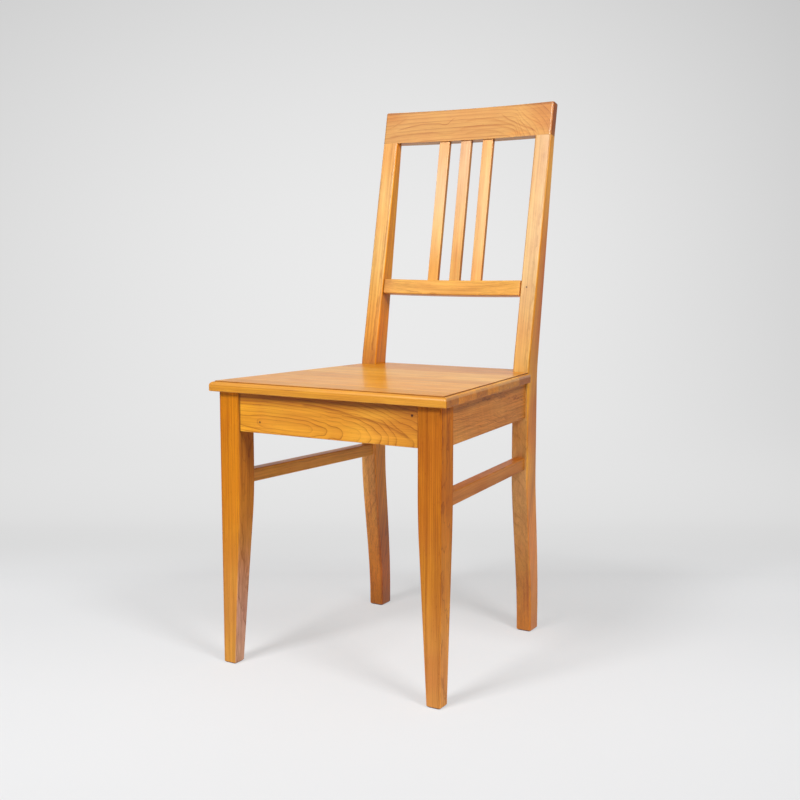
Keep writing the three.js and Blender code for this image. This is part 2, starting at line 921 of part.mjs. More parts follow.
addPair(
  chair,
  'front_corner_block',
  cut(cornerBlock(frontCorner), Object.values(frontHoles.right)),
  () => wood(woodColours.hidden),
);
addPair(
  chair,
  'back_corner_block',
  cut(cornerBlock(backCorner), Object.values(backHoles.right)),
  () => wood(woodColours.hidden),
);
for (const [end, corner] of Object.entries({ front: frontCorner, back: backCorner })) {
  for (const [hand, side] of Object.entries({ left: -1, right: 1 })) {
    const placings = screwPlacings(corner, side);
    addPlaced(chair, `${end}_apron_screw_${hand}`, screw(blockScrewLength), steel(), placings.apron);
    addPlaced(chair, `${end}_side_screw_${hand}`, screw(blockScrewLength), steel(), placings.side);
    addPlaced(chair, `${end}_seat_screw_${hand}`, screw(seatScrewLength), steel(), placings.seat);
  }
}

const seatHoles = [frontHoles.left, frontHoles.right, backHoles.left, backHoles.right]
  .map((holes) => holes.seat);
seatStaves(seatHoles).forEach((stave, i) => {
  addPiece(seat, `seat_stave_${i + 1}`, stave, wood(woodColours.seat));
});

addStanding(backFrame, 'crest_rail', crestRail(), wood(woodColours.crest));
addStanding(backFrame, 'back_rail', backRail(), wood(woodColours.crest));
['left', 'middle', 'right'].forEach((place, i) => {
  addStanding(backFrame, `back_slat_${place}`, backSlat(i), wood(woodColours.slats));
});
dowelPlaces.forEach((place, i) => {
  const mesh = addPiece(backFrame, `crest_dowel_${i + 1}`, dowel(), wood(woodColours.hidden));
  mesh.position.copy(place);
});

// The outline's middle comes over the origin.
chair.updateMatrixWorld(true);
const outline = new THREE.Box3().setFromObject(chair, true);
chair.position.y = -(outline.min.y + outline.max.y) / 2;
chair.name = 'choir_chair';

export default chair;
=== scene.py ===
"""The looks of a wooden choir chair: its finish, the studio light and the view.

Lengths are metres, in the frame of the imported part: X to the right of someone facing the chair,
Y to its back and Z up. Colours are written as they look on a screen and turned to linear light.
Shares of a colour's channels act in linear light.
"""

import json
import math
from dataclasses import dataclass

import bmesh
import bpy
from mathutils import Matrix, Vector
from mathutils.bvhtree import BVHTree

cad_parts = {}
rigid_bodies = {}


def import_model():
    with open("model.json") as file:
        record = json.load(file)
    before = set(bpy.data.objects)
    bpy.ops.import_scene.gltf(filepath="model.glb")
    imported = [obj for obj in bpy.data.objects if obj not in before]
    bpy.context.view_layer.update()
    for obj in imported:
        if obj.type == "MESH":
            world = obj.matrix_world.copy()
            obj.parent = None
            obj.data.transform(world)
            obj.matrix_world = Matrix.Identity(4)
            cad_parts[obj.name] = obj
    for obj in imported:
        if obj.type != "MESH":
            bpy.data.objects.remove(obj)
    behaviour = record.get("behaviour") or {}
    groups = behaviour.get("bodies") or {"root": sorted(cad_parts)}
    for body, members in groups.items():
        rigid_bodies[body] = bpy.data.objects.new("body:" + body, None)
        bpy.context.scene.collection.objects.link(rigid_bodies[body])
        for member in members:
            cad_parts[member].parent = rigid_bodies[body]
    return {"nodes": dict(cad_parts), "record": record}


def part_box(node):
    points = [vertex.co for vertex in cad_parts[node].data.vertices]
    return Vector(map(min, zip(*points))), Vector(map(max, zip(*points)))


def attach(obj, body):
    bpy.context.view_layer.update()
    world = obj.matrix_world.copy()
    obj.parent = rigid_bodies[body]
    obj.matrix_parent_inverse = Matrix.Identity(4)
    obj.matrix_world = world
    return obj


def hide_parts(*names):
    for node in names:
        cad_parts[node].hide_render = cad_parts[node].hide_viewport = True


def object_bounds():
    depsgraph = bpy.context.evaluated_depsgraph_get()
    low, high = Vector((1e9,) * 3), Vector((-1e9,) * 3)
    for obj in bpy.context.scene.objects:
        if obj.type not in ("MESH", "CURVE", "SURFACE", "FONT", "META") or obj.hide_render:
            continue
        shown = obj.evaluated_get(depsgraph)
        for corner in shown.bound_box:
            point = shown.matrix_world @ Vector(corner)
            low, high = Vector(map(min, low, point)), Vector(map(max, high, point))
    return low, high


for leftover in list(bpy.data.objects):
    bpy.data.objects.remove(leftover)

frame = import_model()
bpy.context.view_layer.update()
cad_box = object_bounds()

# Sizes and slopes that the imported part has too.
SEAT_OVERHANG = 0.0095
SEAT_HEIGHT = 0.46
SEAT_STEP = 0.00155
STILE_LEAN = math.atan2(0.0808, 0.4016)
SIDE_SLOPE = math.atan2(0.0310, 0.3265)

# The camera, fitted to the photograph's edges.
CAMERA_RIGHT = 0.9723
CAMERA_BEFORE_LEGS = 1.4149
CAMERA_HEIGHT = 0.6513
CAMERA_TURN = 0.5355
CAMERA_DIP = 0.1219
CAMERA_LENS = 52.03
SENSOR_WIDTH = 36.0

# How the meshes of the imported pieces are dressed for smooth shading.
WELD_DISTANCE = 0.00001
FLAT_ANGLE = math.radians(0.4)
SHARP_ANGLE = math.radians(40)
ARRIS_STEPS = 3
FOOT_RADIUS = 0.0042
ARRIS_RADII = {
    "leg_wood": 0.0018,
    "stile_wood": 0.0018,
    "crest_wood": 0.0014,
    "back_rail_wood": 0.0012,
    "slat_wood": 0.0012,
    "apron_wood": 0.0008,
    "stretcher_wood": 0.0014,
    "seat_wood": 0.0004,
    "hidden_wood": 0.0005,
}

# An edge is in a joint when another piece is this near at most of these places along it.
JOINT_GAP = 0.0004
JOINT_PLACES = (0.1, 0.3, 0.5, 0.7, 0.9)

# The cross recess in a screw's head.
RECESS_REACH = 0.0023
RECESS_WIDTH = 0.0011
RECESS_DEPTH = 0.0013
RECESS_TAPER = 0.3

# Faces look the same way when the product of their normals is over this.
SAME_WAY = 0.999


def linear(red, green, blue):
    """The linear colour of a screen colour whose channels run from 0 to 255."""

    def channel(value):
        share = value / 255
        if share <= 0.04045:
            return share / 12.92
        return ((share + 0.055) / 1.055) ** 2.4

    return (channel(red), channel(green), channel(blue), 1.0)


# Shader graphs

# Noise seldom leaves these limits inside its range from 0 to 1.
NOISE_LOW = 0.27
NOISE_HIGH = 0.73

# How fine noise along a line is.
LINE_DETAIL = 1.0


@dataclass
class Noise:
    """A kind of noise: the sizes of its features along three axes, and how fine it is."""

    reach: tuple
    detail: float = 2.0
    roughness: float = 0.5
    seed: float = 0.0


class Graph:
    """A node tree that is built by calls which take and give sockets or plain values."""

    def __init__(self, owner):
        owner.use_nodes = True
        self.tree = owner.node_tree
        self.tree.nodes.clear()

    def add(self, kind, inputs=(), **settings):
        """A new node with its settings, and its inputs by name or number."""
        node = self.tree.nodes.new(kind)
        for name, value in settings.items():
            setattr(node, name, value)
        for name, value in dict(inputs).items():
            if isinstance(value, bpy.types.NodeSocket):
                self.tree.links.new(value, node.inputs[name])
            else:
                node.inputs[name].default_value = value
        return node

    def math(self, operation, *values):
        return self.add("ShaderNodeMath", enumerate(values), operation=operation).outputs[0]

    def vector(self, operation, *values):
        node = self.add("ShaderNodeVectorMath", enumerate(values), operation=operation)
        scalar = operation in ("DOT_PRODUCT", "LENGTH", "DISTANCE")
        return node.outputs["Value" if scalar else "Vector"]

    def split(self, vector):
        return tuple(self.add("ShaderNodeSeparateXYZ", {0: vector}).outputs)

    def noise(self, vector, kind, seed=0.0):
        """Noise from 0 to 1 in space."""
        seed += kind.seed
        scale = tuple(1 / length for length in kind.reach)
        scaled = self.vector("MULTIPLY_ADD", vector, scale, (seed, seed / 2, -seed))
        node = self.add(
            "ShaderNodeTexNoise",
            {"Vector": scaled, "Scale": 1.0, "Detail": kind.detail, "Roughness": kind.roughness},
        )
        return node.outputs[0]

    def line_noise(self, value, seed):
        """Noise from 0 to 1 along a line."""
        node = self.add(
            "ShaderNodeTexNoise",
            {"W": self.math("ADD", value, seed), "Scale": 1.0, "Detail": LINE_DETAIL},
            noise_dimensions="1D",
        )
        return node.outputs[0]

    def spread(self, noise):
        """Noise from 0 to 1 as a swing about zero from -1 to 1."""
        return self.remap(noise, NOISE_LOW, NOISE_HIGH, -1.0, 1.0, smooth=False)

    def swing(self, vector, kind, seed):
        """Noise from -1 to 1 in space."""
        return self.spread(self.noise(vector, kind, seed))

    def remap(self, value, low, high, to_low=0.0, to_high=1.0, smooth=True):
        """A value's way from low to high as a way from to_low to to_high that goes no further."""
        node = self.add(
            "ShaderNodeMapRange",
            {0: value, 1: low, 2: high, 3: to_low, 4: to_high},
            interpolation_type="SMOOTHSTEP" if smooth else "LINEAR",
            clamp=True,
        )
        return node.outputs[0]

    def curve(self, value, low, high, points):
        """A smooth curve through points of (place between low and high, height from 0 to 1)."""
        node = self.add("ShaderNodeFloatCurve", {1: self.remap(value, low, high, smooth=False)})
        line = node.mapping.curves[0]
        places = [((place - low) / (high - low), height) for place, height in points]
        line.points[0].location = places[0]
        line.points[1].location = places[-1]
        for place in places[1:-1]:
            line.points.new(*place)
        node.mapping.update()
        return node.outputs[0]

    def mix(self, share, first, second, blend="MIX", clamp=False):
        node = self.add(
            "ShaderNodeMix",
            {0: share, 6: first, 7: second},
            data_type="RGBA",
            blend_type=blend,
            clamp_result=clamp,
        )
        return node.outputs[2]

    def tinted(self, mask, colour, shares):
        """The colour with only these shares of its channels left where the mask is 1."""
        return self.mix(mask, colour, (*shares, 1.0), "MULTIPLY")

    def bump(self, height, strength, distance, **more):
        """The normal of a surface with relief. More inputs may be given by name."""
        inputs = {"Height": height, "Strength": strength, "Distance": distance, **more}
        return self.add("ShaderNodeBump", inputs).outputs[0]


# Wood


def board_frame(grain, across):
    """Axes of a board as columns: u along its grain, v across it and w through it."""
    u = Vector(grain).normalized()
    v = Vector(across).normalized()
    return Matrix((u, v, u.cross(v))).transposed()


UP_STILE = (0, math.sin(STILE_LEAN), math.cos(STILE_LEAN))
UPRIGHT = board_frame((0, 0, 1), (1, 0, 0))
CROSSWISE = board_frame((1, 0, 0), (0, 0, 1))
LEANING = board_frame(UP_STILE, (1, 0, 0))
LEANING_CROSSWISE = board_frame((1, 0, 0), UP_STILE)
FLAT = board_frame((1, 0, 0), (0, 1, 0))
SIDE_RIGHT = board_frame((-math.sin(SIDE_SLOPE), math.cos(SIDE_SLOPE), 0), (0, 0, 1))
SIDE_LEFT = board_frame((math.sin(SIDE_SLOPE), math.cos(SIDE_SLOPE), 0), (0, 0, 1))


@dataclass
class Wood:
    """How one board was sawn from its log and how it looks.

    Places on the board are counted from its origin, along the axes of its frame. The log's heart
    runs along the board at heart[0] across it and heart[1] through it, drifts across by slope,
    and lies deeper by depth where the points of drift say so. Growth rings are ring apart, more
    or less by uneven, and sway and ripple bend them. The shares of lines, streaks, pinstripes,
    flecks and curl say how strongly each of them shows. Dark shares are what the darkest wood
    leaves of each channel of the tint, and side shares and end shares what the narrow sides and
    the ends leave of the colour. The side shares are partly the sides' own colour and partly
    painted shade and light.

    A wash is a long patch of another colour: its middle on the board, its reach along the
    board's three axes and what it leaves of each channel. Some washes are painted shade, and one
    is a painted dark reflection. Side washes show on the narrow sides only. A stroke is one dark
    growth line with a crisp upper edge: its places along and across the board, the width over
    which it fades and what it leaves of each channel. A knot is its middle in the chair's frame
    and its radius.

    A board with a groove height belongs to the seat. Its rounded edge is shiny and painted
    lighter, partly as wear and partly as a painted highlight, and the step above the groove
    height is darkened as painted shade.
    """

    tint: tuple
    frame: Matrix
    origin: Vector
    heart: tuple = (0.09, 0.03)
    slope: float = 0.0
    depth: float = 0.0
    drift: tuple = ()
    ring: float = 0.0035
    uneven: float = 1.3
    line_share: float = 0.35
    streak_share: float = 0.16
    pin_share: float = 0.06
    fleck_share: float = 0.25
    curl_share: float = 0.0
    sway: float = 0.004
    ripple: float = 0.0012
    knots: tuple = ()
    washes: tuple = ()
    side_washes: tuple = ()
    strokes: tuple = ()
    dark_shares: tuple = (0.62, 0.47, 0.32)
    side_colour_and_shade_shares: tuple = (1.0, 1.0, 1.0)
    end_shares: tuple = (0.56, 0.32, 0.18)
    groove_height: float = 0.0
    roughness: float = 0.46
    specular: float = 0.3
    coat: float = 0.2
    coat_roughness: float = 0.14
    seed: float = 0.0


# The noises in the wood, with sizes along, across and through the board. A board's own seed is
# added to each seed.
SWAY = Noise((0.19, 0.06, 0.06), 1.5)
RIPPLE = Noise((0.032, 0.012, 0.012), seed=3.1)
FINE_FIBRE = Noise((0.05, 0.0009, 0.0009), 3.0, 0.6)
STREAK = Noise((0.13, 0.0034, 0.0034), 3.0, 0.6, seed=1)
WIDE_STREAK = Noise((0.24, 0.012, 0.012), seed=2)
MOTTLE = Noise((0.05, 0.026, 0.026), seed=4)
FLECK = Noise((0.006, 0.0014, 0.0014), 1.0, seed=5)
CURL = Noise((0.0055, 0.03, 0.03), 1.0, seed=6)
LACQUER_WAVE = Noise((0.03, 0.02, 0.02), 1.0, seed=8)
LINE_PATCH = Noise((0.24, 0.012, 0.012), 1.0, seed=9)
PINSTRIPE = Noise((0.3, 0.0013, 0.0013), 1.0, seed=10)
STROKE_WAVER = Noise((0.032, 0.012, 0.012), seed=12)

# Growth rings. Limits are places in a ring, from 0 at its start to 1 at its end.
UNEVEN_PACE = 0.55
SOFT_LIMITS = (0.1, 0.95)
SOFT_POWER = 2.0
LINE_LIMITS = (0.78, 0.92)
LINE_PART = 0.65
END_LIMITS = (0.93, 0.99)
WEAKEST_YEAR = 0.35
PATCH_LIMITS = (0.3, 0.6)
FAINTEST_PATCH = 0.5
BAND_PACE = 0.21
BAND_SEED = 7

# What darkens the wood, on a scale from 0 for its lightest colour to 1 for its darkest.
BASE_TONE = 0.26
BAND_SHARE = 0.1
WIDE_PART = 0.8
FIBRE_SHARE = 0.12
MOTTLE_SHARE = 0.07
FLECK_LIMITS = (0.66, 0.78)
CURL_SLANT = 0.4
LIGHT_SHARE = 1.16
PINK_SHARES = (1.01, 0.95, 1.02)

# Patches, strokes and knots.
WASH_CORE = 0.1
STROKE_LOW = -0.04
STROKE_SPAN = 0.08
STROKE_FADE = 0.012
STROKE_EDGE = 0.0006
STROKE_WAVER_REACH = 0.0006
KNOT_CORE = 0.3
KNOT_COLOUR = linear(60, 26, 12)

# Faces, edges and feet. Limits are products of two normals.
SIDE_LIMITS = (0.3, 0.95)
END_GRAIN_LIMITS = (0.35, 0.95)
# The rim at the foot is painted darker, as painted shade in its chamfer.
FOOT_RIM_SHADE_SHARES = (0.42, 0.34, 0.28)
FOOT_RIM = 0.0026
EDGE_REACH = 0.0016
EDGE_SAMPLES = 4
EDGE_LIMITS = (0.75, 0.99)
# How much lighter the edges are painted, partly as wear and partly as a painted highlight.
EDGE_WEAR_AND_HIGHLIGHT = 0.25

# The seat's rounded edge, from where to where it tilts, and the step above it.
ROUND_STARTS = (0.05, 0.3)
ROUND_ENDS = (0.75, 0.97)
ROUND_COAT = 0.7
# How much lighter the seat's round is painted, partly as wear and partly as a painted highlight.
ROUND_WEAR_AND_HIGHLIGHT = 0.3
GROOVE_TOP = SEAT_HEIGHT - 0.0003
# What the painted shade in the step above the groove leaves of each channel.
GROOVE_SHADE_SHARES = (0.5, 0.36, 0.25)

# What makes the lacquer rougher, and the relief of the pores and of the lacquer itself.
FIBRE_ROUGHNESS = 0.03
MOTTLE_ROUGHNESS = 0.03
EDGE_ROUGHNESS = 0.05
END_ROUGHNESS = 0.1
FLECK_RELIEF = 1.6
PORE_STRENGTH = 0.3
PORE_DEPTH = 0.00006
WAVE_STRENGTH = 0.5
WAVE_DEPTH = 0.00025

# The screws' steel.
STEEL_CLOUD = Noise((0.003, 0.003, 0.003))
STEEL_SCRATCH = Noise((0.0004, 0.0004, 0.002), 3.0)
STEEL_COLOURS = (linear(196, 194, 186), linear(158, 157, 150))
STEEL_ROUGHNESS = 0.2
SCRATCH_ROUGHNESS = 0.25
SCRATCH_STRENGTH = 0.2
SCRATCH_DEPTH = 0.00005


def shaded(tint, shares):
    """A colour whose channels are the tint's times the shares."""
    return tuple(min(1.0, part * share) for part, share in zip(tint, (*shares, 1.0)))


def ring_distance(graph, wood, board):
    """How far a point of the board lies from the log's heart."""
    along, across, through = graph.split(board)
    sway = graph.swing(board, SWAY, wood.seed)
    ripple = graph.swing(board, RIPPLE, wood.seed)
    swayed = graph.math("MULTIPLY_ADD", sway, wood.sway, across)
    heart_across = graph.math("MULTIPLY_ADD", along, wood.slope, wood.heart[0])
    heart_through = wood.heart[1]
    if wood.drift:
        low = wood.drift[0][0]
        high = wood.drift[-1][0]
        share = graph.curve(along, low, high, wood.drift)
        heart_through = graph.math("MULTIPLY_ADD", share, wood.depth, wood.heart[1])
    from_across = graph.math("SUBTRACT", swayed, heart_across)
    from_through = graph.math("SUBTRACT", through, heart_through)
    squares = graph.math("MULTIPLY", from_across, from_across)
    squares = graph.math("MULTIPLY_ADD", from_through, from_through, squares)
    distance = graph.math("SQRT", squares)
    return graph.math("MULTIPLY_ADD", ripple, wood.ripple, distance)


def late_wood(graph, wood, board, rings):
    """How dark the late wood of each year is, with a thin line where the year ends."""
    phase = graph.math("FRACT", rings)
    year = graph.math("FLOOR", rings)
    soft = graph.math("POWER", graph.remap(phase, *SOFT_LIMITS), SOFT_POWER)
    soft = graph.math("MULTIPLY", soft, 1 - LINE_PART)
    late = graph.math("MULTIPLY_ADD", graph.remap(phase, *LINE_LIMITS), LINE_PART, soft)
    late = graph.math("MULTIPLY", late, graph.remap(phase, *END_LIMITS, 1.0, 0.0))
    vigour = graph.add("ShaderNodeTexWhiteNoise", {"W": year}, noise_dimensions="1D").outputs[0]
    vigour = graph.remap(vigour, 0.0, 1.0, WEAKEST_YEAR, 1.0, smooth=False)
    late = graph.math("MULTIPLY", late, vigour)
    patch = graph.noise(board, LINE_PATCH, wood.seed)
    return graph.math("MULTIPLY", late, graph.remap(patch, *PATCH_LIMITS, FAINTEST_PATCH))


def washed(graph, board, washes, colour, limit=1.0):
    """The colour with a board's washes laid over it where the limit lets them."""
    for middle, reach, shares in washes:
        offset = graph.vector("SUBTRACT", board, middle)
        offset = graph.vector("DIVIDE", offset, reach)
        distance = graph.vector("LENGTH", offset)
        mask = graph.remap(distance, WASH_CORE, 1.0, 1.0, 0.0)
        colour = graph.tinted(graph.math("MULTIPLY", mask, limit), colour, shares)
    return colour


def stroked(graph, board, wood, colour):
    """The colour with the board's single growth lines drawn over it."""
    along, across = graph.split(board)[:2]
    waver = graph.swing(board, STROKE_WAVER, wood.seed)
    across = graph.math("ADD", across, graph.math("MULTIPLY", waver, STROKE_WAVER_REACH))
    for points, width, shares in wood.strokes:
        low = points[0][0]
        high = points[-1][0]
        heights = [(place, (height - STROKE_LOW) / STROKE_SPAN) for place, height in points]
        height = graph.curve(along, low, high, heights)
        height = graph.math("MULTIPLY_ADD", height, STROKE_SPAN, STROKE_LOW)
        below = graph.math("SUBTRACT", height, across)
        crisp = graph.remap(below, -STROKE_EDGE, STROKE_EDGE)
        mask = graph.math("MULTIPLY", crisp, graph.remap(below, STROKE_EDGE, width, 1.0, 0.0))
        start = graph.remap(along, low, low + STROKE_FADE)
        end = graph.remap(along, high - STROKE_FADE, high, 1.0, 0.0)
        mask = graph.math("MULTIPLY", mask, graph.math("MULTIPLY", start, end))
        colour = graph.tinted(mask, colour, shares)
    return colour


def knot_mask(graph, position, knots):
    """1 in the middle of each knot and 0 outside it."""
    mask = 0.0
    for middle, radius in knots:
        distance = graph.vector("DISTANCE", position, middle)
        knot = graph.remap(distance, radius * KNOT_CORE, radius, 1.0, 0.0)
        mask = graph.math("MAXIMUM", mask, knot)
    return mask


def facing(graph, normal, direction, limits):
    """1 where the surface faces along a direction, either way, and 0 where it doesn't."""
    share = graph.vector("DOT_PRODUCT", normal, tuple(direction))
    return graph.remap(graph.math("ABSOLUTE", share), *limits)


def edge_mask(graph):
    """1 on the edges of a piece, where hands and cloth have rubbed and a highlight is painted,
    and 0 away from them.
    """
    rounded = graph.add("ShaderNodeBevel", {"Radius": EDGE_REACH}, samples=EDGE_SAMPLES)
    plain = graph.add("ShaderNodeNewGeometry").outputs["Normal"]
    alike = graph.vector("DOT_PRODUCT", rounded.outputs[0], plain)
    return graph.remap(alike, *EDGE_LIMITS, 1.0, 0.0)


def wood_material(name, wood):
    """A satin-lacquered board whose figure is cut from a log with growth rings."""
    material = bpy.data.materials.new(name)
    graph = Graph(material)
    coordinates = graph.add("ShaderNodeTexCoord").outputs
    position = coordinates["Object"]
    normal = coordinates["Normal"]
    board = graph.add(
        "ShaderNodeMapping",
        {"Vector": position, "Location": wood.origin, "Rotation": wood.frame.to_euler()},
        vector_type="TEXTURE",
    ).outputs[0]

    rings = graph.math("DIVIDE", ring_distance(graph, wood, board), wood.ring)
    uneven = graph.line_noise(graph.math("MULTIPLY", rings, UNEVEN_PACE), wood.seed)
    rings = graph.math("MULTIPLY_ADD", uneven, wood.uneven, rings)
    late = late_wood(graph, wood, board, rings)
    bands = graph.line_noise(graph.math("MULTIPLY", rings, BAND_PACE), wood.seed + BAND_SEED)
    fibre = graph.swing(board, FINE_FIBRE, wood.seed)
    mottle = graph.swing(board, MOTTLE, wood.seed)
    flecks = graph.remap(graph.noise(board, FLECK, wood.seed), *FLECK_LIMITS)

    parts = [
        (late, wood.line_share),
        (graph.spread(bands), BAND_SHARE),
        (graph.swing(board, STREAK, wood.seed), wood.streak_share),
        (graph.swing(board, WIDE_STREAK, wood.seed), wood.streak_share * WIDE_PART),
        (fibre, FIBRE_SHARE),
        (graph.swing(board, PINSTRIPE, wood.seed), wood.pin_share),
        (mottle, MOTTLE_SHARE),
        (flecks, wood.fleck_share),
    ]
    if wood.curl_share:
        along, across, through = graph.split(board)
        slanted = graph.math("MULTIPLY_ADD", across, CURL_SLANT, along)
        slanted = graph.add("ShaderNodeCombineXYZ", {0: slanted, 1: across, 2: through})
        parts.append((graph.swing(slanted.outputs[0], CURL, wood.seed), wood.curl_share))
    tone = BASE_TONE
    for part, share in parts:
        tone = graph.math("MULTIPLY_ADD", part, share, tone)
    tone = graph.math("MAXIMUM", graph.math("MINIMUM", tone, 1.0), 0.0)
    light = shaded(wood.tint, (LIGHT_SHARE,) * 3)
    colour = graph.mix(tone, light, shaded(wood.tint, wood.dark_shares))
    colour = graph.tinted(graph.remap(mottle, -1.0, 1.0), colour, PINK_SHARES)
    colour = washed(graph, board, wood.washes, colour)
    if wood.strokes:
        colour = stroked(graph, board, wood, colour)

    # The narrow sides get their own shares: partly their own colour, partly painted shade and
    # light.
    sideways = facing(graph, normal, wood.frame.col[1], SIDE_LIMITS)
    colour = graph.tinted(sideways, colour, wood.side_colour_and_shade_shares)
    colour = washed(graph, board, wood.side_washes, colour, sideways)
    end_grain = facing(graph, normal, wood.frame.col[0], END_GRAIN_LIMITS)
    colour = graph.tinted(end_grain, colour, wood.end_shares)
    height = graph.split(position)[2]
    # Painted shade: the chamfered rim at the foot of each leg is darkened.
    rim = graph.remap(height, FOOT_RIM / 2, FOOT_RIM, 1.0, 0.0)
    colour = graph.tinted(rim, colour, FOOT_RIM_SHADE_SHARES)

    edges = edge_mask(graph)
    # Edges are painted lighter, partly as wear and partly as a painted highlight.
    worn_and_highlit = graph.math("MULTIPLY", edges, EDGE_WEAR_AND_HIGHLIGHT)
    coat = wood.coat
    if wood.groove_height:
        tilt = graph.split(normal)[2]
        on_round = graph.remap(tilt, *ROUND_STARTS)
        on_round = graph.math("MULTIPLY", on_round, graph.remap(tilt, *ROUND_ENDS, 1.0, 0.0))
        coat = graph.math("MULTIPLY_ADD", on_round, ROUND_COAT, wood.coat)
        # The seat's round is painted lighter, partly as wear and partly as a painted highlight.
        worn_and_highlit = graph.math("MAXIMUM", worn_and_highlit, graph.math("MULTIPLY", on_round, ROUND_WEAR_AND_HIGHLIGHT))
        # Painted shade: the step above the groove height is darkened.
        above = graph.math("GREATER_THAN", height, wood.groove_height)
        below = graph.math("LESS_THAN", height, GROOVE_TOP)
        colour = graph.tinted(graph.math("MULTIPLY", above, below), colour, GROOVE_SHADE_SHARES)
    colour = graph.mix(worn_and_highlit, colour, light, clamp=True)
    if wood.knots:
        colour = graph.mix(knot_mask(graph, position, wood.knots), colour, KNOT_COLOUR)

    roughness = wood.roughness
    for mask, more in (
        (fibre, FIBRE_ROUGHNESS),
        (mottle, MOTTLE_ROUGHNESS),
        (edges, EDGE_ROUGHNESS),
        (end_grain, END_ROUGHNESS),
    ):
        roughness = graph.math("MULTIPLY_ADD", mask, more, roughness)

    relief = graph.math("MULTIPLY_ADD", late, -1.0, fibre)
    relief = graph.math("MULTIPLY_ADD", flecks, -FLECK_RELIEF, relief)
    pores = graph.bump(relief, PORE_STRENGTH, PORE_DEPTH)
    wave = graph.noise(board, LACQUER_WAVE, wood.seed)
    shader = graph.add(
        "ShaderNodeBsdfPrincipled",
        {
            "Base Color": colour,
            "Roughness": roughness,
            "Normal": graph.bump(wave, WAVE_STRENGTH, WAVE_DEPTH, Normal=pores),
            "Specular IOR Level": wood.specular,
            "Coat Weight": coat,
            "Coat Roughness": wood.coat_roughness,
        },
    )
    graph.add("ShaderNodeOutputMaterial", {0: shader.outputs[0]})
    return material


def steel_material(name):
    """Zinc-plated steel with a turned, slightly uneven surface."""
    material = bpy.data.materials.new(name)
    graph = Graph(material)
    position = graph.add("ShaderNodeTexCoord").outputs["Object"]
    scratch = graph.noise(position, STEEL_SCRATCH)
    shader = graph.add(
        "ShaderNodeBsdfPrincipled",
        {
            "Base Color": graph.mix(graph.noise(position, STEEL_CLOUD), *STEEL_COLOURS),
            "Roughness": graph.math("MULTIPLY_ADD", scratch, SCRATCH_ROUGHNESS, STEEL_ROUGHNESS),
            "Normal": graph.bump(scratch, SCRATCH_STRENGTH, SCRATCH_DEPTH),
            "Metallic": 1.0,
        },
    )
    graph.add("ShaderNodeOutputMaterial", {0: shader.outputs[0]})
    return material


# Pieces


def surface_tree(piece):
    """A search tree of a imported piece's surface."""
    corners = [piece.matrix_world @ vertex.co for vertex in piece.data.vertices]
    return BVHTree.FromPolygons(corners, [tuple(face.vertices) for face in piece.data.polygons])


surfaces = {name: surface_tree(piece) for name, piece in frame["nodes"].items()}


def in_joint(node, edge):
    """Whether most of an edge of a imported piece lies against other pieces."""
    first, last = (corner.co for corner in edge.verts)
    touching = 0
    for share in JOINT_PLACES:
        point = first.lerp(last, share)
        near = (
            tree.find_nearest(point, JOINT_GAP)[0]
            for name, tree in surfaces.items() if name != node
        )
        touching += any(found is not None for found in near)
    return touching > len(JOINT_PLACES) / 2


def cross_recess(screw):
    """Sinks a cross for a screwdriver into the flat end of a screw's head."""
    head = max(screw.faces, key=lambda face: face.calc_area())
    outward = head.normal.copy()
    middle = head.calc_center_median()
    arms = (outward.orthogonal().normalized(), outward.cross(outward.orthogonal()).normalized())

    def on_head():
        return [
            face for face in screw.faces
            if face.normal.dot(outward) > SAME_WAY
            and abs((face.calc_center_median() - middle).dot(outward)) < WELD_DISTANCE
        ]

    for arm in arms:
        for reach in (-RECESS_REACH, -RECESS_WIDTH / 2, RECESS_WIDTH / 2, RECESS_REACH):
            faces = on_head()
            edges = {edge for face in faces for edge in face.edges}
            corners = {corner for face in faces for corner in face.verts}
            bmesh.ops.bisect_plane(
                screw, geom=[*faces, *edges, *corners],
                plane_co=middle + arm * reach, plane_no=arm,
            )

    def in_cross(face):
        offset = face.calc_center_median() - middle
        near, far = sorted(abs(offset.dot(arm)) for arm in arms)
        return near < RECESS_WIDTH / 2 and far < RECESS_REACH

    cross = [face for face in on_head() if in_cross(face)]
    sunk = bmesh.ops.extrude_face_region(screw, geom=cross)["geom"]
    floor = [part for part in sunk if isinstance(part, bmesh.types.BMVert)]
    bmesh.ops.translate(screw, vec=outward * -RECESS_DEPTH, verts=floor)
    for corner in floor:
        inward = corner.co - middle
        inward -= outward * inward.dot(outward)
        corner.co -= inward * RECESS_TAPER
    left = [face for face in cross if face.is_valid]
    bmesh.ops.delete(screw, geom=left, context="FACES_ONLY")


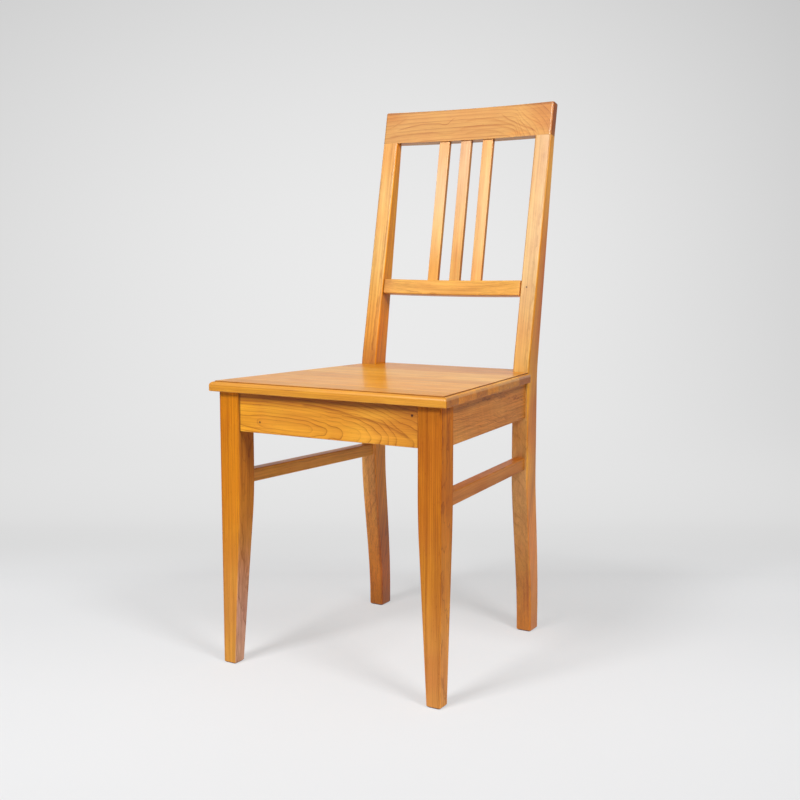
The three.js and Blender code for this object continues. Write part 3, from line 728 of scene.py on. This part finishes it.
def dress(node, material, slot):
    """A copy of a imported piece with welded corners, rounded arrises and smooth rounds."""
    rough = bmesh.new()
    rough.from_mesh(frame["nodes"][node].data)
    bmesh.ops.remove_doubles(rough, verts=rough.verts, dist=WELD_DISTANCE)
    bmesh.ops.dissolve_limit(
        rough, angle_limit=FLAT_ANGLE, verts=rough.verts, edges=rough.edges
    )
    if slot == "screw_steel":
        cross_recess(rough)
    if slot in ARRIS_RADII:
        widths = rough.edges.layers.float.new("bevel_weight_edge")
        sharp = [
            edge for edge in rough.edges
            if edge.is_convex and edge.calc_face_angle() > SHARP_ANGLE
            and not in_joint(node, edge)
        ]
        for edge in sharp:
            at_foot = max(corner.co.z for corner in edge.verts) < WELD_DISTANCE
            radius = FOOT_RADIUS if at_foot else ARRIS_RADII[slot]
            edge[widths] = radius / FOOT_RADIUS
    mesh = bpy.data.meshes.new(f"{node}_dressed")
    rough.to_mesh(mesh)
    rough.free()
    for layer in ("custom_normal", "sharp_face", "sharp_edge"):
        if layer in mesh.attributes:
            mesh.attributes.remove(mesh.attributes[layer])
    mesh.materials.clear()
    mesh.materials.append(material)
    mesh.shade_smooth()
    mesh.set_sharp_from_angle(angle=SHARP_ANGLE)
    piece = bpy.data.objects.new(f"{node}_dressed", mesh)
    bpy.context.scene.collection.objects.link(piece)
    if slot in ARRIS_RADII:
        arrises = piece.modifiers.new("Rounded arrises", "BEVEL")
        arrises.limit_method = "WEIGHT"
        arrises.width = FOOT_RADIUS
        arrises.segments = ARRIS_STEPS
        arrises.use_clamp_overlap = True
    weights = piece.modifiers.new("Flat faces stay flat", "WEIGHTED_NORMAL")
    weights.keep_sharp = True
    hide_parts(node)
    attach(piece, "root")


def middle_of(node):
    """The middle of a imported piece."""
    low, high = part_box(node)
    return (low + high) / 2


def leaning_front_middle(node):
    """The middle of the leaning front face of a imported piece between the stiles' tops."""
    low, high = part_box(node)
    rise = (high.z - low.z) / 2
    return Vector(((low.x + high.x) / 2, low.y + rise * math.tan(STILE_LEAN), low.z + rise))


def front_middle(node, height):
    """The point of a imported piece's front at a height, in the middle of its width."""
    low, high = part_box(node)
    return Vector(((low.x + high.x) / 2, low.y, height))


# The front apron's left end, where it meets the leg, and the height from which places across
# the apron are counted.
apron_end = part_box("front_leg_left")[1].x
APRON_ZERO = 0.3912

# The visible boards, apart from the slats and the seat. A wash with a reach of 1 covers the
# board's whole width or thickness.
woods = {
    "front_leg_left": Wood(
        linear(206, 128, 18), UPRIGHT, middle_of("front_leg_left"),
        heart=(0.16, 0.01), ring=0.0024, line_share=0.9, streak_share=0.22, pin_share=0.3,
        sway=0.003, specular=0.15, coat=0.1, side_colour_and_shade_shares=(0.86, 0.9, 2.6),
        fleck_share=0.4, seed=1.3,
        washes=(((-0.25, 0, 0), (0.24, 1, 1), (1.03, 1.36, 7.0)),
                ((-0.06, 0, 0), (0.14, 1, 1), (1.0, 1.08, 1.8)),
                ((-0.04, 0, 0), (0.07, 1, 1), (1.0, 1.03, 1.35)),
                ((0.2, 0, 0), (0.05, 1, 1), (1.06, 1.06, 0.82)),
                # Painted shade under the seat on the leg's inner side near its top.
                ((0.2, 0.03, 0.0), (0.12, 0.02, 0.03), (0.84, 0.78, 0.7))),
        side_washes=(((-0.16, 0, 0), (0.2, 1, 1), (1.18, 1.4, 2.2)),
                     ((0.16, 0, 0), (0.12, 1, 1), (0.88, 0.88, 1.1))),
    ),
    "front_leg_right": Wood(
        linear(193, 116, 22), UPRIGHT, middle_of("front_leg_right"),
        heart=(0.14, -0.01), ring=0.0023, line_share=0.85, streak_share=0.2, pin_share=0.3,
        sway=0.003, specular=0.15, coat=0.1, side_colour_and_shade_shares=(1.22, 1.16, 0.9),
        fleck_share=0.4, seed=2.7,
        washes=(((-0.25, 0, 0), (0.24, 1, 1), (1.08, 1.42, 6.3)),
                ((-0.05, 0, 0), (0.14, 1, 1), (1.02, 1.12, 1.25)),
                ((0.1, -0.004, 0), (0.25, 0.006, 1), (0.88, 0.82, 0.77)),
                ((0.17, 0.025, 0.004), (0.07, 0.03, 0.008), (0.82, 0.7, 0.58)),
                ((0.18, 0, 0), (0.08, 1, 1), (0.94, 0.91, 0.9)),
                ((0.0, 0, 0), (0.08, 1, 1), (1.0, 1.02, 1.4)),
                ((-0.17, 0, 0), (0.07, 1, 1), (0.94, 0.87, 0.9))),
        side_washes=(((0.1, 0, 0), (0.06, 1, 1), (0.9, 0.84, 0.7)),
                     ((-0.15, 0, 0), (0.12, 1, 1), (1.2, 1.3, 1.5))),
    ),
    "back_leg_left": Wood(
        linear(231, 178, 100), LEANING, middle_of("back_leg_left"),
        heart=(0.03, 0.05), ring=0.005, line_share=0.6, streak_share=0.3, pin_share=0.2,
        curl_share=0.03, roughness=0.38, specular=0.4, side_colour_and_shade_shares=(1.16, 0.82, 0.04), seed=4.2,
        # Painted shade: the leg is darker and redder from the seat down to the foot.
        washes=(((-0.45, 0, 0), (0.5, 1, 1), (0.88, 0.5, 0.07)),
                ((0.03, 0, 0), (0.16, 1, 1), (0.96, 0.78, 0.46)),
                ((-0.19, 0, 0), (0.11, 1, 1), (1.06, 1.1, 1.15)),
                ((-0.3, 0.013, 0), (0.24, 0.0045, 1), (0.76, 0.62, 0.5)),
                ((-0.22, 0.0, 0), (0.1, 0.003, 1), (0.8, 0.7, 0.6)),
                # Painted shade: the stile is darker around the seat's height.
                ((0.02, 0, 0), (0.075, 1, 1), (0.74, 0.67, 0.55)),
                ((0.22, 0, 0), (0.07, 1, 1), (1.02, 1.14, 1.2)),
                ((0.41, 0, 0), (0.09, 1, 1), (0.93, 0.84, 0.74)),
                ((0.34, 0, 0), (0.05, 1, 1), (1.0, 1.08, 1.16)),
                ((0.1, 0, 0), (0.15, 1, 1), (1.0, 0.98, 0.7)),
                ((-0.22, 0, 0), (0.12, 1, 1), (1.14, 1.19, 1.16)),
                ((-0.43, 0, 0), (0.07, 1, 1), (0.76, 0.76, 0.8))),
        side_washes=(((-0.3, 0, 0), (0.3, 1, 1), (0.95, 1.2, 1.2)),
                     ((0.02, 0, 0), (0.075, 1, 1), (1.08, 1.3, 0.72)),
                     # Painted shade on the narrow sides just under the back rail.
                     ((0.15, 0, 0), (0.045, 1, 1), (0.82, 0.84, 0.7)),
                     ((0.22, 0, 0), (0.07, 1, 1), (0.94, 0.82, 0.6))),
    ),
    "back_leg_right": Wood(
        linear(219, 176, 110), LEANING, middle_of("back_leg_right"),
        heart=(-0.02, 0.06), ring=0.006, line_share=0.35, streak_share=0.2, pin_share=0.14,
        curl_share=0.03, roughness=0.38, specular=0.42, side_colour_and_shade_shares=(1.2, 0.86, 0.2), seed=5.9,
        # Painted shade: the leg is darker and redder from the seat down to the foot.
        washes=(((-0.45, 0, 0), (0.5, 1, 1), (0.85, 0.52, 0.12)),
                ((0.02, 0, 0), (0.19, 1, 1), (0.98, 0.78, 0.46)),
                ((-0.35, 0.009, 0), (0.09, 0.004, 1), (0.8, 0.6, 0.42)),
                ((-0.37, 0.002, 0), (0.06, 0.0025, 1), (0.86, 0.7, 0.5)),
                ((0.02, 0, 0), (0.075, 1, 1), (1.0, 1.2, 1.4)),
                ((-0.18, 0, 0), (0.12, 1, 1), (1.1, 1.15, 1.17)),
                ((0.2, 0, 0), (0.14, 1, 1), (1.0, 1.07, 1.2)),
                ((0.38, 0, 0), (0.12, 1, 1), (0.96, 0.93, 0.9)),
                ((0.42, 0, 0), (0.05, 1, 1), (0.93, 0.9, 0.84)),
                ((0.1, 0, 0), (0.08, 1, 1), (1.0, 1.08, 1.18)),
                ((-0.09, 0, 0), (0.04, 1, 1), (0.98, 0.88, 0.65)),
                ((-0.27, 0, 0), (0.06, 1, 1), (1.06, 1.07, 1.16)),
                ((-0.42, 0, 0), (0.06, 1, 1), (0.95, 0.87, 0.8))),
        side_washes=(((0.0, 0, 0), (0.24, 1, 1), (0.82, 0.72, 0.4)),
                     ((-0.4, 0, 0), (0.12, 1, 1), (0.94, 1.14, 0.8)),
                     ((0.17, 0, -0.063), (0.2, 1, 0.022), (1.34, 1.55, 0.83)),
                     ((0.17, 0, -0.028), (0.2, 1, 0.018), (0.8, 0.56, 0.12)),
                     ((-0.04, 0, -0.049), (0.09, 1, 0.022), (1.38, 1.8, 1.27)),
                     ((-0.04, 0, -0.012), (0.09, 1, 0.018), (0.87, 0.76, 0.32)),
                     ((-0.14, 0, -0.027), (0.1, 1, 0.022), (1.2, 1.42, 1.15)),
                     ((-0.16, 0, 0.014), (0.1, 1, 0.018), (0.8, 0.72, 0.5)),
                     ((0.2, 0, 0), (0.15, 1, 1), (0.88, 0.62, 0.1)),
                     ((0.38, 0, 0), (0.08, 1, 1), (1.13, 1.2, 1.0))),
        knots=(((0.1492, 0.158, 0.6029), 0.0022),),
    ),
    "crest_rail": Wood(
        linear(207, 154, 78), LEANING_CROSSWISE, leaning_front_middle("crest_rail"),
        heart=(-0.045, 0.0), depth=-0.1, ring=0.0066, line_share=0.8, streak_share=0.13,
        uneven=0.5, sway=0.001, ripple=0.0004, specular=0.35, coat=0.35,
        dark_shares=(0.68, 0.48, 0.3), end_shares=(0.62, 0.38, 0.14), seed=7.1,
        drift=((-0.17, 0.25), (-0.117, 0.198), (-0.032, 0.143), (0.048, 0.09), (0.078, 0.12),
               (0.091, 0.196), (0.11, 0.507), (0.134, 0.673), (0.17, 0.9)),
        washes=(((0.16, 0.012, 0), (0.06, 0.05, 1), (0.88, 0.7, 0.53)),
                ((-0.155, 0.022, 0), (0.045, 0.02, 1), (0.9, 0.76, 0.6)),
                ((-0.13, 0.02, 0), (0.07, 0.03, 1), (0.95, 0.9, 0.85)),
                ((0.102, -0.02, 0), (0.035, 0.007, 1), (1.05, 0.95, 0.7)),
                # Painted dark reflection: a thin dark line along the crest's upper front arris.
                ((0.0, 0.0288, 0.003), (0.9, 0.0034, 0.012), (0.62, 0.52, 0.5))),
        strokes=(
            (((-0.144, -0.0023), (-0.127, 0.0014), (-0.11, 0.0051), (-0.0856, 0.0076),
              (-0.0607, 0.0072), (-0.04, 0.0055), (-0.0344, 0.0104), (-0.0288, 0.0148),
              (-0.022, 0.0178)), 0.0026, (0.74, 0.54, 0.38)),
            (((-0.168, 0.0019), (-0.153, 0.0038), (-0.141, 0.0106), (-0.129, 0.0174),
              (-0.121, 0.0234)), 0.003, (0.88, 0.76, 0.6)),
            (((0.064, 0.0196), (0.0745, 0.0118), (0.0868, 0.0048), (0.101, -0.0023),
              (0.1148, -0.0085), (0.1305, -0.0147), (0.1427, -0.0241)), 0.0045,
             (0.8, 0.62, 0.45)),
            (((0.0913, 0.016), (0.1, 0.0066), (0.1104, -0.0029), (0.1245, -0.0108),
              (0.1365, -0.0185), (0.1449, -0.0277)), 0.003, (0.87, 0.72, 0.55)),
            (((0.1018, 0.025), (0.1105, 0.0147), (0.1228, 0.0051), (0.1367, -0.0019),
              (0.1467, -0.0086), (0.1534, -0.0195), (0.16, -0.0285)), 0.003,
             (0.86, 0.7, 0.53)),
            (((0.1183, 0.0125), (0.1321, 0.0063), (0.1462, -0.0033)), 0.003,
             (0.88, 0.75, 0.6)),
            (((-0.0184, -0.0059), (0.0013, -0.0016), (0.025, -0.0004), (0.0487, -0.0009),
              (0.0684, -0.0039), (0.0884, -0.0104), (0.1045, -0.0184), (0.1167, -0.027)),
             0.006, (0.9, 0.79, 0.65)),
            (((-0.0078, 0.008), (0.0118, 0.0113), (0.0355, 0.0116), (0.0595, 0.0074),
              (0.0795, 0.0008), (0.0995, -0.0075), (0.1195, -0.0175), (0.1356, -0.0281)),
             0.006, (0.9, 0.79, 0.65)),
            (((-0.0054, -0.0139), (0.0181, -0.0099), (0.0458, -0.0106), (0.0657, -0.0144),
              (0.0819, -0.0216)), 0.005, (0.88, 0.8, 0.7)),
            (((-0.1595, -0.0146), (-0.1342, -0.0104), (-0.1047, -0.0083), (-0.0713, -0.0084),
              (-0.04, -0.012), (-0.0179, -0.0096)), 0.005, (0.9, 0.82, 0.72)),
        ),
    ),
    "back_rail": Wood(
        linear(225, 170, 78), LEANING_CROSSWISE, middle_of("back_rail"),
        heart=(-0.02, 0.03), ring=0.004, line_share=0.55, streak_share=0.26, pin_share=0.12,
        seed=8.4,
        washes=(((-0.138, 0, 0), (0.03, 1, 1), (0.82, 0.7, 0.66)),),
    ),
    "front_apron": Wood(
        linear(224, 156, 42), CROSSWISE, front_middle("front_apron", APRON_ZERO),
        heart=(0.0023, 0.0), slope=-0.042, depth=-0.08, ring=0.005, line_share=1.0,
        uneven=0.12, streak_share=0.18, pin_share=0.1, sway=0.0006, ripple=0.0007,
        dark_shares=(0.62, 0.42, 0.2), seed=9.6,
        drift=((-0.17, 0.16), (-0.129, 0.12), (-0.115, 0.085), (-0.09, 0.07), (-0.031, 0.088),
               (-0.017, 0.135), (0.0, 0.165), (0.01, 0.203), (0.026, 0.215),
               (0.035, 0.246), (0.056, 0.276), (0.068, 0.315), (0.0823, 0.368),
               (0.1012, 0.435), (0.1266, 0.558), (0.155, 0.62), (0.17, 0.66)),
        washes=(((0.15, 0.02, 0), (0.17, 0.05, 1), (0.82, 0.73, 0.76)),
                # Painted shadow of the seat along the top of the front apron.
                ((0.0, 0.054, 0), (0.9, 0.025, 1), (0.5, 0.36, 0.27)),
                ((apron_end, 0, 0), (0.05, 1, 1), (1.08, 1.12, 1.1)),
                # Painted shade in the gap where the apron's end meets the leg.
                ((apron_end, 0, 0), (0.0032, 1, 1), (0.35, 0.25, 0.1)),
                ((-0.15, 0, 0), (0.04, 1, 1), (1.0, 1.0, 0.7)),
                ((0.085, 0, 0), (0.06, 1, 1), (1.1, 1.2, 1.5))),
        strokes=(
            (((-0.0445, 0.0412), (-0.0078, 0.0405), (0.0281, 0.0354), (0.0563, 0.0298),
              (0.0841, 0.0259), (0.1046, 0.0215), (0.1249, 0.0142), (0.145, 0.0056),
              (0.1549, -0.0023)), 0.006, (0.72, 0.6, 0.5)),
            (((-0.0393, 0.0094), (-0.034, 0.0092), (-0.026, 0.0088)), 0.0013,
             (0.5, 0.36, 0.25)),
            (((-0.02, 0.0116), (-0.0135, 0.0113), (-0.008, 0.0108)), 0.0013,
             (0.5, 0.36, 0.25)),
        ),
        knots=(((0.1516, -0.234, 0.4282), 0.003), ((-0.1212, -0.234, 0.3988), 0.0022)),
    ),
    "rear_apron": Wood(
        linear(222, 150, 70), CROSSWISE, middle_of("rear_apron"),
        heart=(-0.04, 0.05), ring=0.005, seed=10.2,
    ),
    "side_apron_right": Wood(
        linear(212, 137, 55), SIDE_RIGHT, middle_of("side_apron_right"),
        heart=(0.02, 0.02), slope=-0.12, ring=0.0045, line_share=0.8, streak_share=0.26,
        curl_share=0.07, pin_share=0.25, sway=0.006, ripple=0.0025, specular=0.15, coat=0.1,
        seed=11.8,
        washes=(((-0.14, -0.03, 0), (0.06, 0.04, 1), (1.1, 1.2, 1.3)),
                # Painted shadow of the seat along the top of the side apron.
                ((0.0, 0.044, 0), (0.9, 0.026, 1), (0.76, 0.76, 0.84))),
    ),
    "side_apron_left": Wood(
        linear(204, 122, 40), SIDE_LEFT, middle_of("side_apron_left"),
        heart=(-0.03, 0.03), ring=0.006, line_share=0.3, seed=12.4,
    ),
    "side_stretcher_right": Wood(
        linear(200, 123, 43), SIDE_RIGHT, middle_of("side_stretcher_right"),
        heart=(0.05, 0.03), ring=0.004, line_share=0.5, streak_share=0.26, specular=0.15,
        coat=0.1, seed=13.9,
    ),
    "side_stretcher_left": Wood(
        linear(219, 156, 62), SIDE_LEFT, middle_of("side_stretcher_left"),
        heart=(0.05, -0.03), ring=0.004, line_share=0.5, streak_share=0.26, seed=14.5,
    ),
}

# Each slat's tint, streak share and washes.
slats = {
    "left": (
        linear(239, 199, 129), 0.14,
        (((-0.124, 0, 0), (0.1, 1, 1), (0.9, 0.68, 0.35)),
         ((0.04, 0, 0), (0.09, 1, 1), (0.98, 0.94, 1.24)),
         ((0.124, 0, 0), (0.07, 1, 1), (0.97, 0.86, 0.9))),
    ),
    "middle": (
        linear(232, 187, 122), 0.18,
        (((-0.09, 0, 0), (0.06, 0.005, 1), (0.88, 0.74, 0.66)),
         ((-0.124, 0, 0), (0.13, 1, 1), (0.88, 0.76, 0.5)),
         ((0.08, 0, 0), (0.14, 1, 1), (0.96, 0.97, 1.26))),
    ),
    "right": (
        linear(236, 194, 120), 0.14,
        (((-0.124, 0, 0), (0.08, 1, 1), (0.97, 0.8, 0.68)),
         ((0.02, 0, 0), (0.14, 1, 1), (0.98, 0.93, 1.1)),
         ((0.124, 0, 0), (0.08, 1, 1), (0.98, 0.84, 0.76))),
    ),
}
for number, (hand, (tint, streak_share, washes)) in enumerate(slats.items()):
    node = f"back_slat_{hand}"
    woods[node] = Wood(
        tint, LEANING, middle_of(node),
        heart=(0.1, 0.02), ring=0.0035, line_share=0.2, streak_share=streak_share,
        side_colour_and_shade_shares=(0.72, 0.5, 0.25), washes=washes, seed=16.3 + number * 2.1,
    )

# Each stave's tint, end shares and coat roughness, from the seat's front to its back.
staves = (
    (linear(213, 149, 50), (0.74, 0.55, 0.40), 0.3),
    (linear(227, 157, 36), (0.90, 0.71, 0.56), 0.16),
    (linear(230, 161, 32), (0.66, 0.47, 0.35), 0.14),
    (linear(221, 152, 26), (0.95, 0.78, 0.60), 0.14),
    (linear(232, 169, 56), (0.74, 0.57, 0.43), 0.14),
    (linear(214, 142, 28), (0.61, 0.43, 0.33), 0.14),
)
# The washes of the stave at the front.
front_washes = (
    ((-0.17, -0.033, 0), (0.08, 0.014, 1), (1.0, 0.98, 0.55)),
    ((-0.06, -0.033, 0), (0.08, 0.014, 1), (0.93, 0.86, 0.8)),
    ((0.15, -0.033, 0), (0.11, 0.014, 1), (0.91, 0.92, 1.2)),
)
for number, (tint, end_shares, coat_roughness) in enumerate(staves):
    node = f"seat_stave_{number + 1}"
    woods[node] = Wood(
        tint, FLAT, middle_of(node),
        heart=(0.05 - 0.02 * number, 0.04), ring=0.0045, line_share=0.4, streak_share=0.3,
        pin_share=0.14, roughness=0.4, specular=0.15, coat=0.26, end_shares=end_shares,
        coat_roughness=coat_roughness, washes=() if number else front_washes,
        groove_height=SEAT_HEIGHT - SEAT_STEP, seed=21.7 + number * 3.3,
    )

# The blocks and dowels are plain wood.
HIDDEN_TINT = linear(206, 164, 116)

slots = {row["node"]: row["material_slot"] for row in frame["record"]["subparts"]}
steel = steel_material("zinc_plated_steel")
for number, node in enumerate(sorted(frame["nodes"])):
    slot = slots[node]
    if slot == "screw_steel":
        material = steel
    else:
        if slot == "hidden_wood":
            woods[node] = Wood(
                HIDDEN_TINT, UPRIGHT, middle_of(node),
                ring=0.003, line_share=0.2, roughness=0.6, coat=0.0, seed=31.0 + number,
            )
        material = wood_material(f"{node}_wood", woods[node])
    dress(node, material, slot)

# Studio

FLOOR_REACH = 2.7
FLOOR_STEPS = 8
COVE_RADIUS = 1.1
COVE_STEPS = 16
WALL_HEIGHT = 4.5
BACKDROP_STEPS = 96

PAPER_CLOUD = Noise((0.5, 0.5, 0.5))
PAPER_COLOURS = (linear(240, 241, 243), linear(236, 237, 239))
PAPER_ROUGHNESS = 0.9
PAPER_SPECULAR = 0.1
FAR_PAPER_COLOUR = linear(150, 151, 153)

# What the camera sees of the backdrop, as grey levels of a screen: pairs of a place behind the
# chair and the level there. These levels are painted light and shade in the backdrop's glow:
# the paper dips where it starts to rise, and the wall falls off to the sides and the top.
PAINTED_PAPER_LEVELS = (
    (-0.6, 0.88), (-0.27, 0.925), (-0.05, 0.925), (0.15, 0.925), (0.3, 0.94), (0.42, 0.93),
    (0.54, 0.896), (0.72, 0.868), (1.0, 0.885), (2.2, 0.905), (3.8, 0.918),
)
WALL_LEFT_FALL = 0.055
WALL_RIGHT_FALL = 0.095
WALL_TOP_FALL = 0.062
WALL_MIDDLE = 0.2
WALL_REACH = 1.9
WALL_RISE = 1.4
WALL_BRIGHT_HEIGHT = 0.5
WALL_ENDS = 1.15
SCREEN_GAMMA = 2.2
# Near the chair the camera sees this share of painted glow over the lit paper: painted fill light
# that makes the chair's shadows on the floor fainter.
NEAR_PAINTED_FILL = 0.55
FADE_START = 0.0
FADE_END = 0.8
CLEAR_REACH = 0.75
VIEW_ALONG = (-math.sin(CAMERA_TURN), math.cos(CAMERA_TURN), 0)
VIEW_ACROSS = (math.cos(CAMERA_TURN), math.sin(CAMERA_TURN), 0)

# Each lamp's name, place, level, width and height. Both stand where the shadows of the four
# feet on the floor point to.
LAMPS = (
    ("key_softbox", (-0.41, -2.18, 2.2), 0.78, 0.8, 0.75),
    ("right_softbox", (1.64, -0.8, 2.05), 0.53, 0.6, 0.75),
)
LIGHT_TARGET = Vector((0, 0, 0.45))
FILL_STRENGTH = 0.3


def backdrop():
    """A round paper floor that curves up into a wall all the way round."""
    profile = [(FLOOR_REACH * step / FLOOR_STEPS, 0.0) for step in range(FLOOR_STEPS + 1)]
    for step in range(1, COVE_STEPS + 1):
        angle = math.pi / 2 * step / COVE_STEPS
        profile.append((
            FLOOR_REACH + COVE_RADIUS * math.sin(angle),
            COVE_RADIUS * (1 - math.cos(angle)),
        ))
    profile.append((FLOOR_REACH + COVE_RADIUS, WALL_HEIGHT))
    shape = bmesh.new()
    edges = []
    points = [shape.verts.new((radius, 0, height)) for radius, height in profile]
    for first, second in zip(points, points[1:]):
        edges.append(shape.edges.new((first, second)))
    bmesh.ops.spin(
        shape, geom=points + edges, axis=(0, 0, 1), cent=(0, 0, 0),
        angle=math.tau, steps=BACKDROP_STEPS, use_merge=True,
    )
    bmesh.ops.remove_doubles(shape, verts=shape.verts, dist=WELD_DISTANCE)
    bmesh.ops.recalc_face_normals(shape, faces=shape.faces)
    mesh = bpy.data.meshes.new("backdrop")
    shape.to_mesh(mesh)
    shape.free()
    mesh.shade_smooth()
    paper = bpy.data.objects.new("backdrop", mesh)
    bpy.context.scene.collection.objects.link(paper)
    paper.visible_shadow = False
    return paper


def painted_paper_level(graph, position):
    """The grey level of painted light and shade that the backdrop glows with at a place of it."""
    behind = graph.vector("DOT_PRODUCT", position, VIEW_ALONG)
    level = graph.curve(behind, PAINTED_PAPER_LEVELS[0][0], PAINTED_PAPER_LEVELS[-1][0], PAINTED_PAPER_LEVELS)
    sideways = graph.vector("DOT_PRODUCT", position, VIEW_ACROSS)
    sideways = graph.math("DIVIDE", sideways, WALL_REACH)
    sideways = graph.math("MINIMUM", graph.math("MAXIMUM", sideways, -WALL_ENDS), WALL_ENDS)
    square = graph.math("MULTIPLY", sideways, sideways)
    fall = graph.remap(sideways, -WALL_MIDDLE, WALL_MIDDLE, -WALL_LEFT_FALL, -WALL_RIGHT_FALL)
    level = graph.math("MULTIPLY_ADD", square, fall, level)
    height = graph.math("SUBTRACT", graph.split(position)[2], WALL_BRIGHT_HEIGHT)
    rise = graph.math("DIVIDE", graph.math("MAXIMUM", height, 0.0), WALL_RISE)
    rise = graph.math("MINIMUM", rise, WALL_ENDS)
    rise_square = graph.math("MULTIPLY", rise, rise)
    level = graph.math("MULTIPLY_ADD", rise_square, -WALL_TOP_FALL, level)
    return graph.math("POWER", level, SCREEN_GAMMA)


def paper_material():
    """Lit paper near the chair, under a share of painted glow, that turns into a backdrop glowing
    with painted light and shade further off.
    """
    material = bpy.data.materials.new("pale_paper")
    graph = Graph(material)
    position = graph.add("ShaderNodeTexCoord").outputs["Object"]
    colour = graph.mix(graph.noise(position, PAPER_CLOUD), *PAPER_COLOURS)
    lit = graph.add(
        "ShaderNodeBsdfPrincipled",
        {
            "Base Color": colour,
            "Roughness": PAPER_ROUGHNESS,
            "Specular IOR Level": PAPER_SPECULAR,
        },
    )
    dim = graph.add("ShaderNodeBsdfDiffuse", {"Color": FAR_PAPER_COLOUR})
    level = painted_paper_level(graph, position)
    grey = graph.add("ShaderNodeCombineColor", {0: level, 1: level, 2: level})
    glow = graph.add("ShaderNodeEmission", {"Color": grey.outputs[0], "Strength": 1.0})

    behind = graph.vector("DOT_PRODUCT", position, VIEW_ALONG)
    around = graph.math("SUBTRACT", graph.vector("LENGTH", position), CLEAR_REACH)
    far = graph.remap(graph.math("MAXIMUM", behind, around), FADE_START, FADE_END)
    path = graph.add("ShaderNodeLightPath").outputs
    seen = graph.math("MAXIMUM", path["Is Camera Ray"], path["Is Glossy Ray"])
    seen = graph.math("MAXIMUM", seen, path["Is Transmission Ray"])
    unseen = graph.math("SUBTRACT", 1.0, seen)
    dimmed = graph.math("MULTIPLY", unseen, far)
    paper_light = graph.add(
        "ShaderNodeMixShader", {0: dimmed, 1: lit.outputs[0], 2: dim.outputs[0]}
    )
    # The camera sees painted glow: painted fill near the chair, painted light and shade further
    # off.
    shown = graph.math("MULTIPLY", seen, graph.math("MAXIMUM", far, NEAR_PAINTED_FILL))
    shader = graph.add(
        "ShaderNodeMixShader", {0: shown, 1: paper_light.outputs[0], 2: glow.outputs[0]}
    )
    graph.add("ShaderNodeOutputMaterial", {0: shader.outputs[0]})
    return material


def softbox(name, place, level, width, height):
    """A lamp that faces the chair and lights a white card there to about the given level."""
    outward = Vector(place) - LIGHT_TARGET
    data = bpy.data.lights.new(name, "AREA")
    data.shape = "RECTANGLE"
    data.size = width
    data.size_y = height
    data.energy = level * (math.pi * outward.length) ** 2
    lamp = bpy.data.objects.new(name, data)
    bpy.context.scene.collection.objects.link(lamp)
    lamp.location = place
    lamp.rotation_euler = outward.to_track_quat("Z", "Y").to_euler()
    lamp.visible_camera = False


paper = backdrop()
paper.data.materials.append(paper_material())
for lamp in LAMPS:
    softbox(*lamp)

world = bpy.data.worlds.new("studio")
bpy.context.scene.world = world
graph = Graph(world)
fill = graph.add(
    "ShaderNodeBackground", {"Color": linear(255, 255, 255), "Strength": FILL_STRENGTH}
)
graph.add("ShaderNodeOutputWorld", {0: fill.outputs[0]})

legs_front = cad_box[0].y + SEAT_OVERHANG
camera_data = bpy.data.cameras.new("camera")
camera_data.lens = CAMERA_LENS
camera_data.sensor_width = SENSOR_WIDTH
camera = bpy.data.objects.new("camera", camera_data)
bpy.context.scene.collection.objects.link(camera)
camera.location = (CAMERA_RIGHT, legs_front - CAMERA_BEFORE_LEGS, CAMERA_HEIGHT)
camera.rotation_euler = (math.pi / 2 - CAMERA_DIP, 0, CAMERA_TURN)
bpy.context.scene.camera = camera
bpy.context.scene.view_settings.view_transform = "Standard"

bpy.context.view_layer.update()
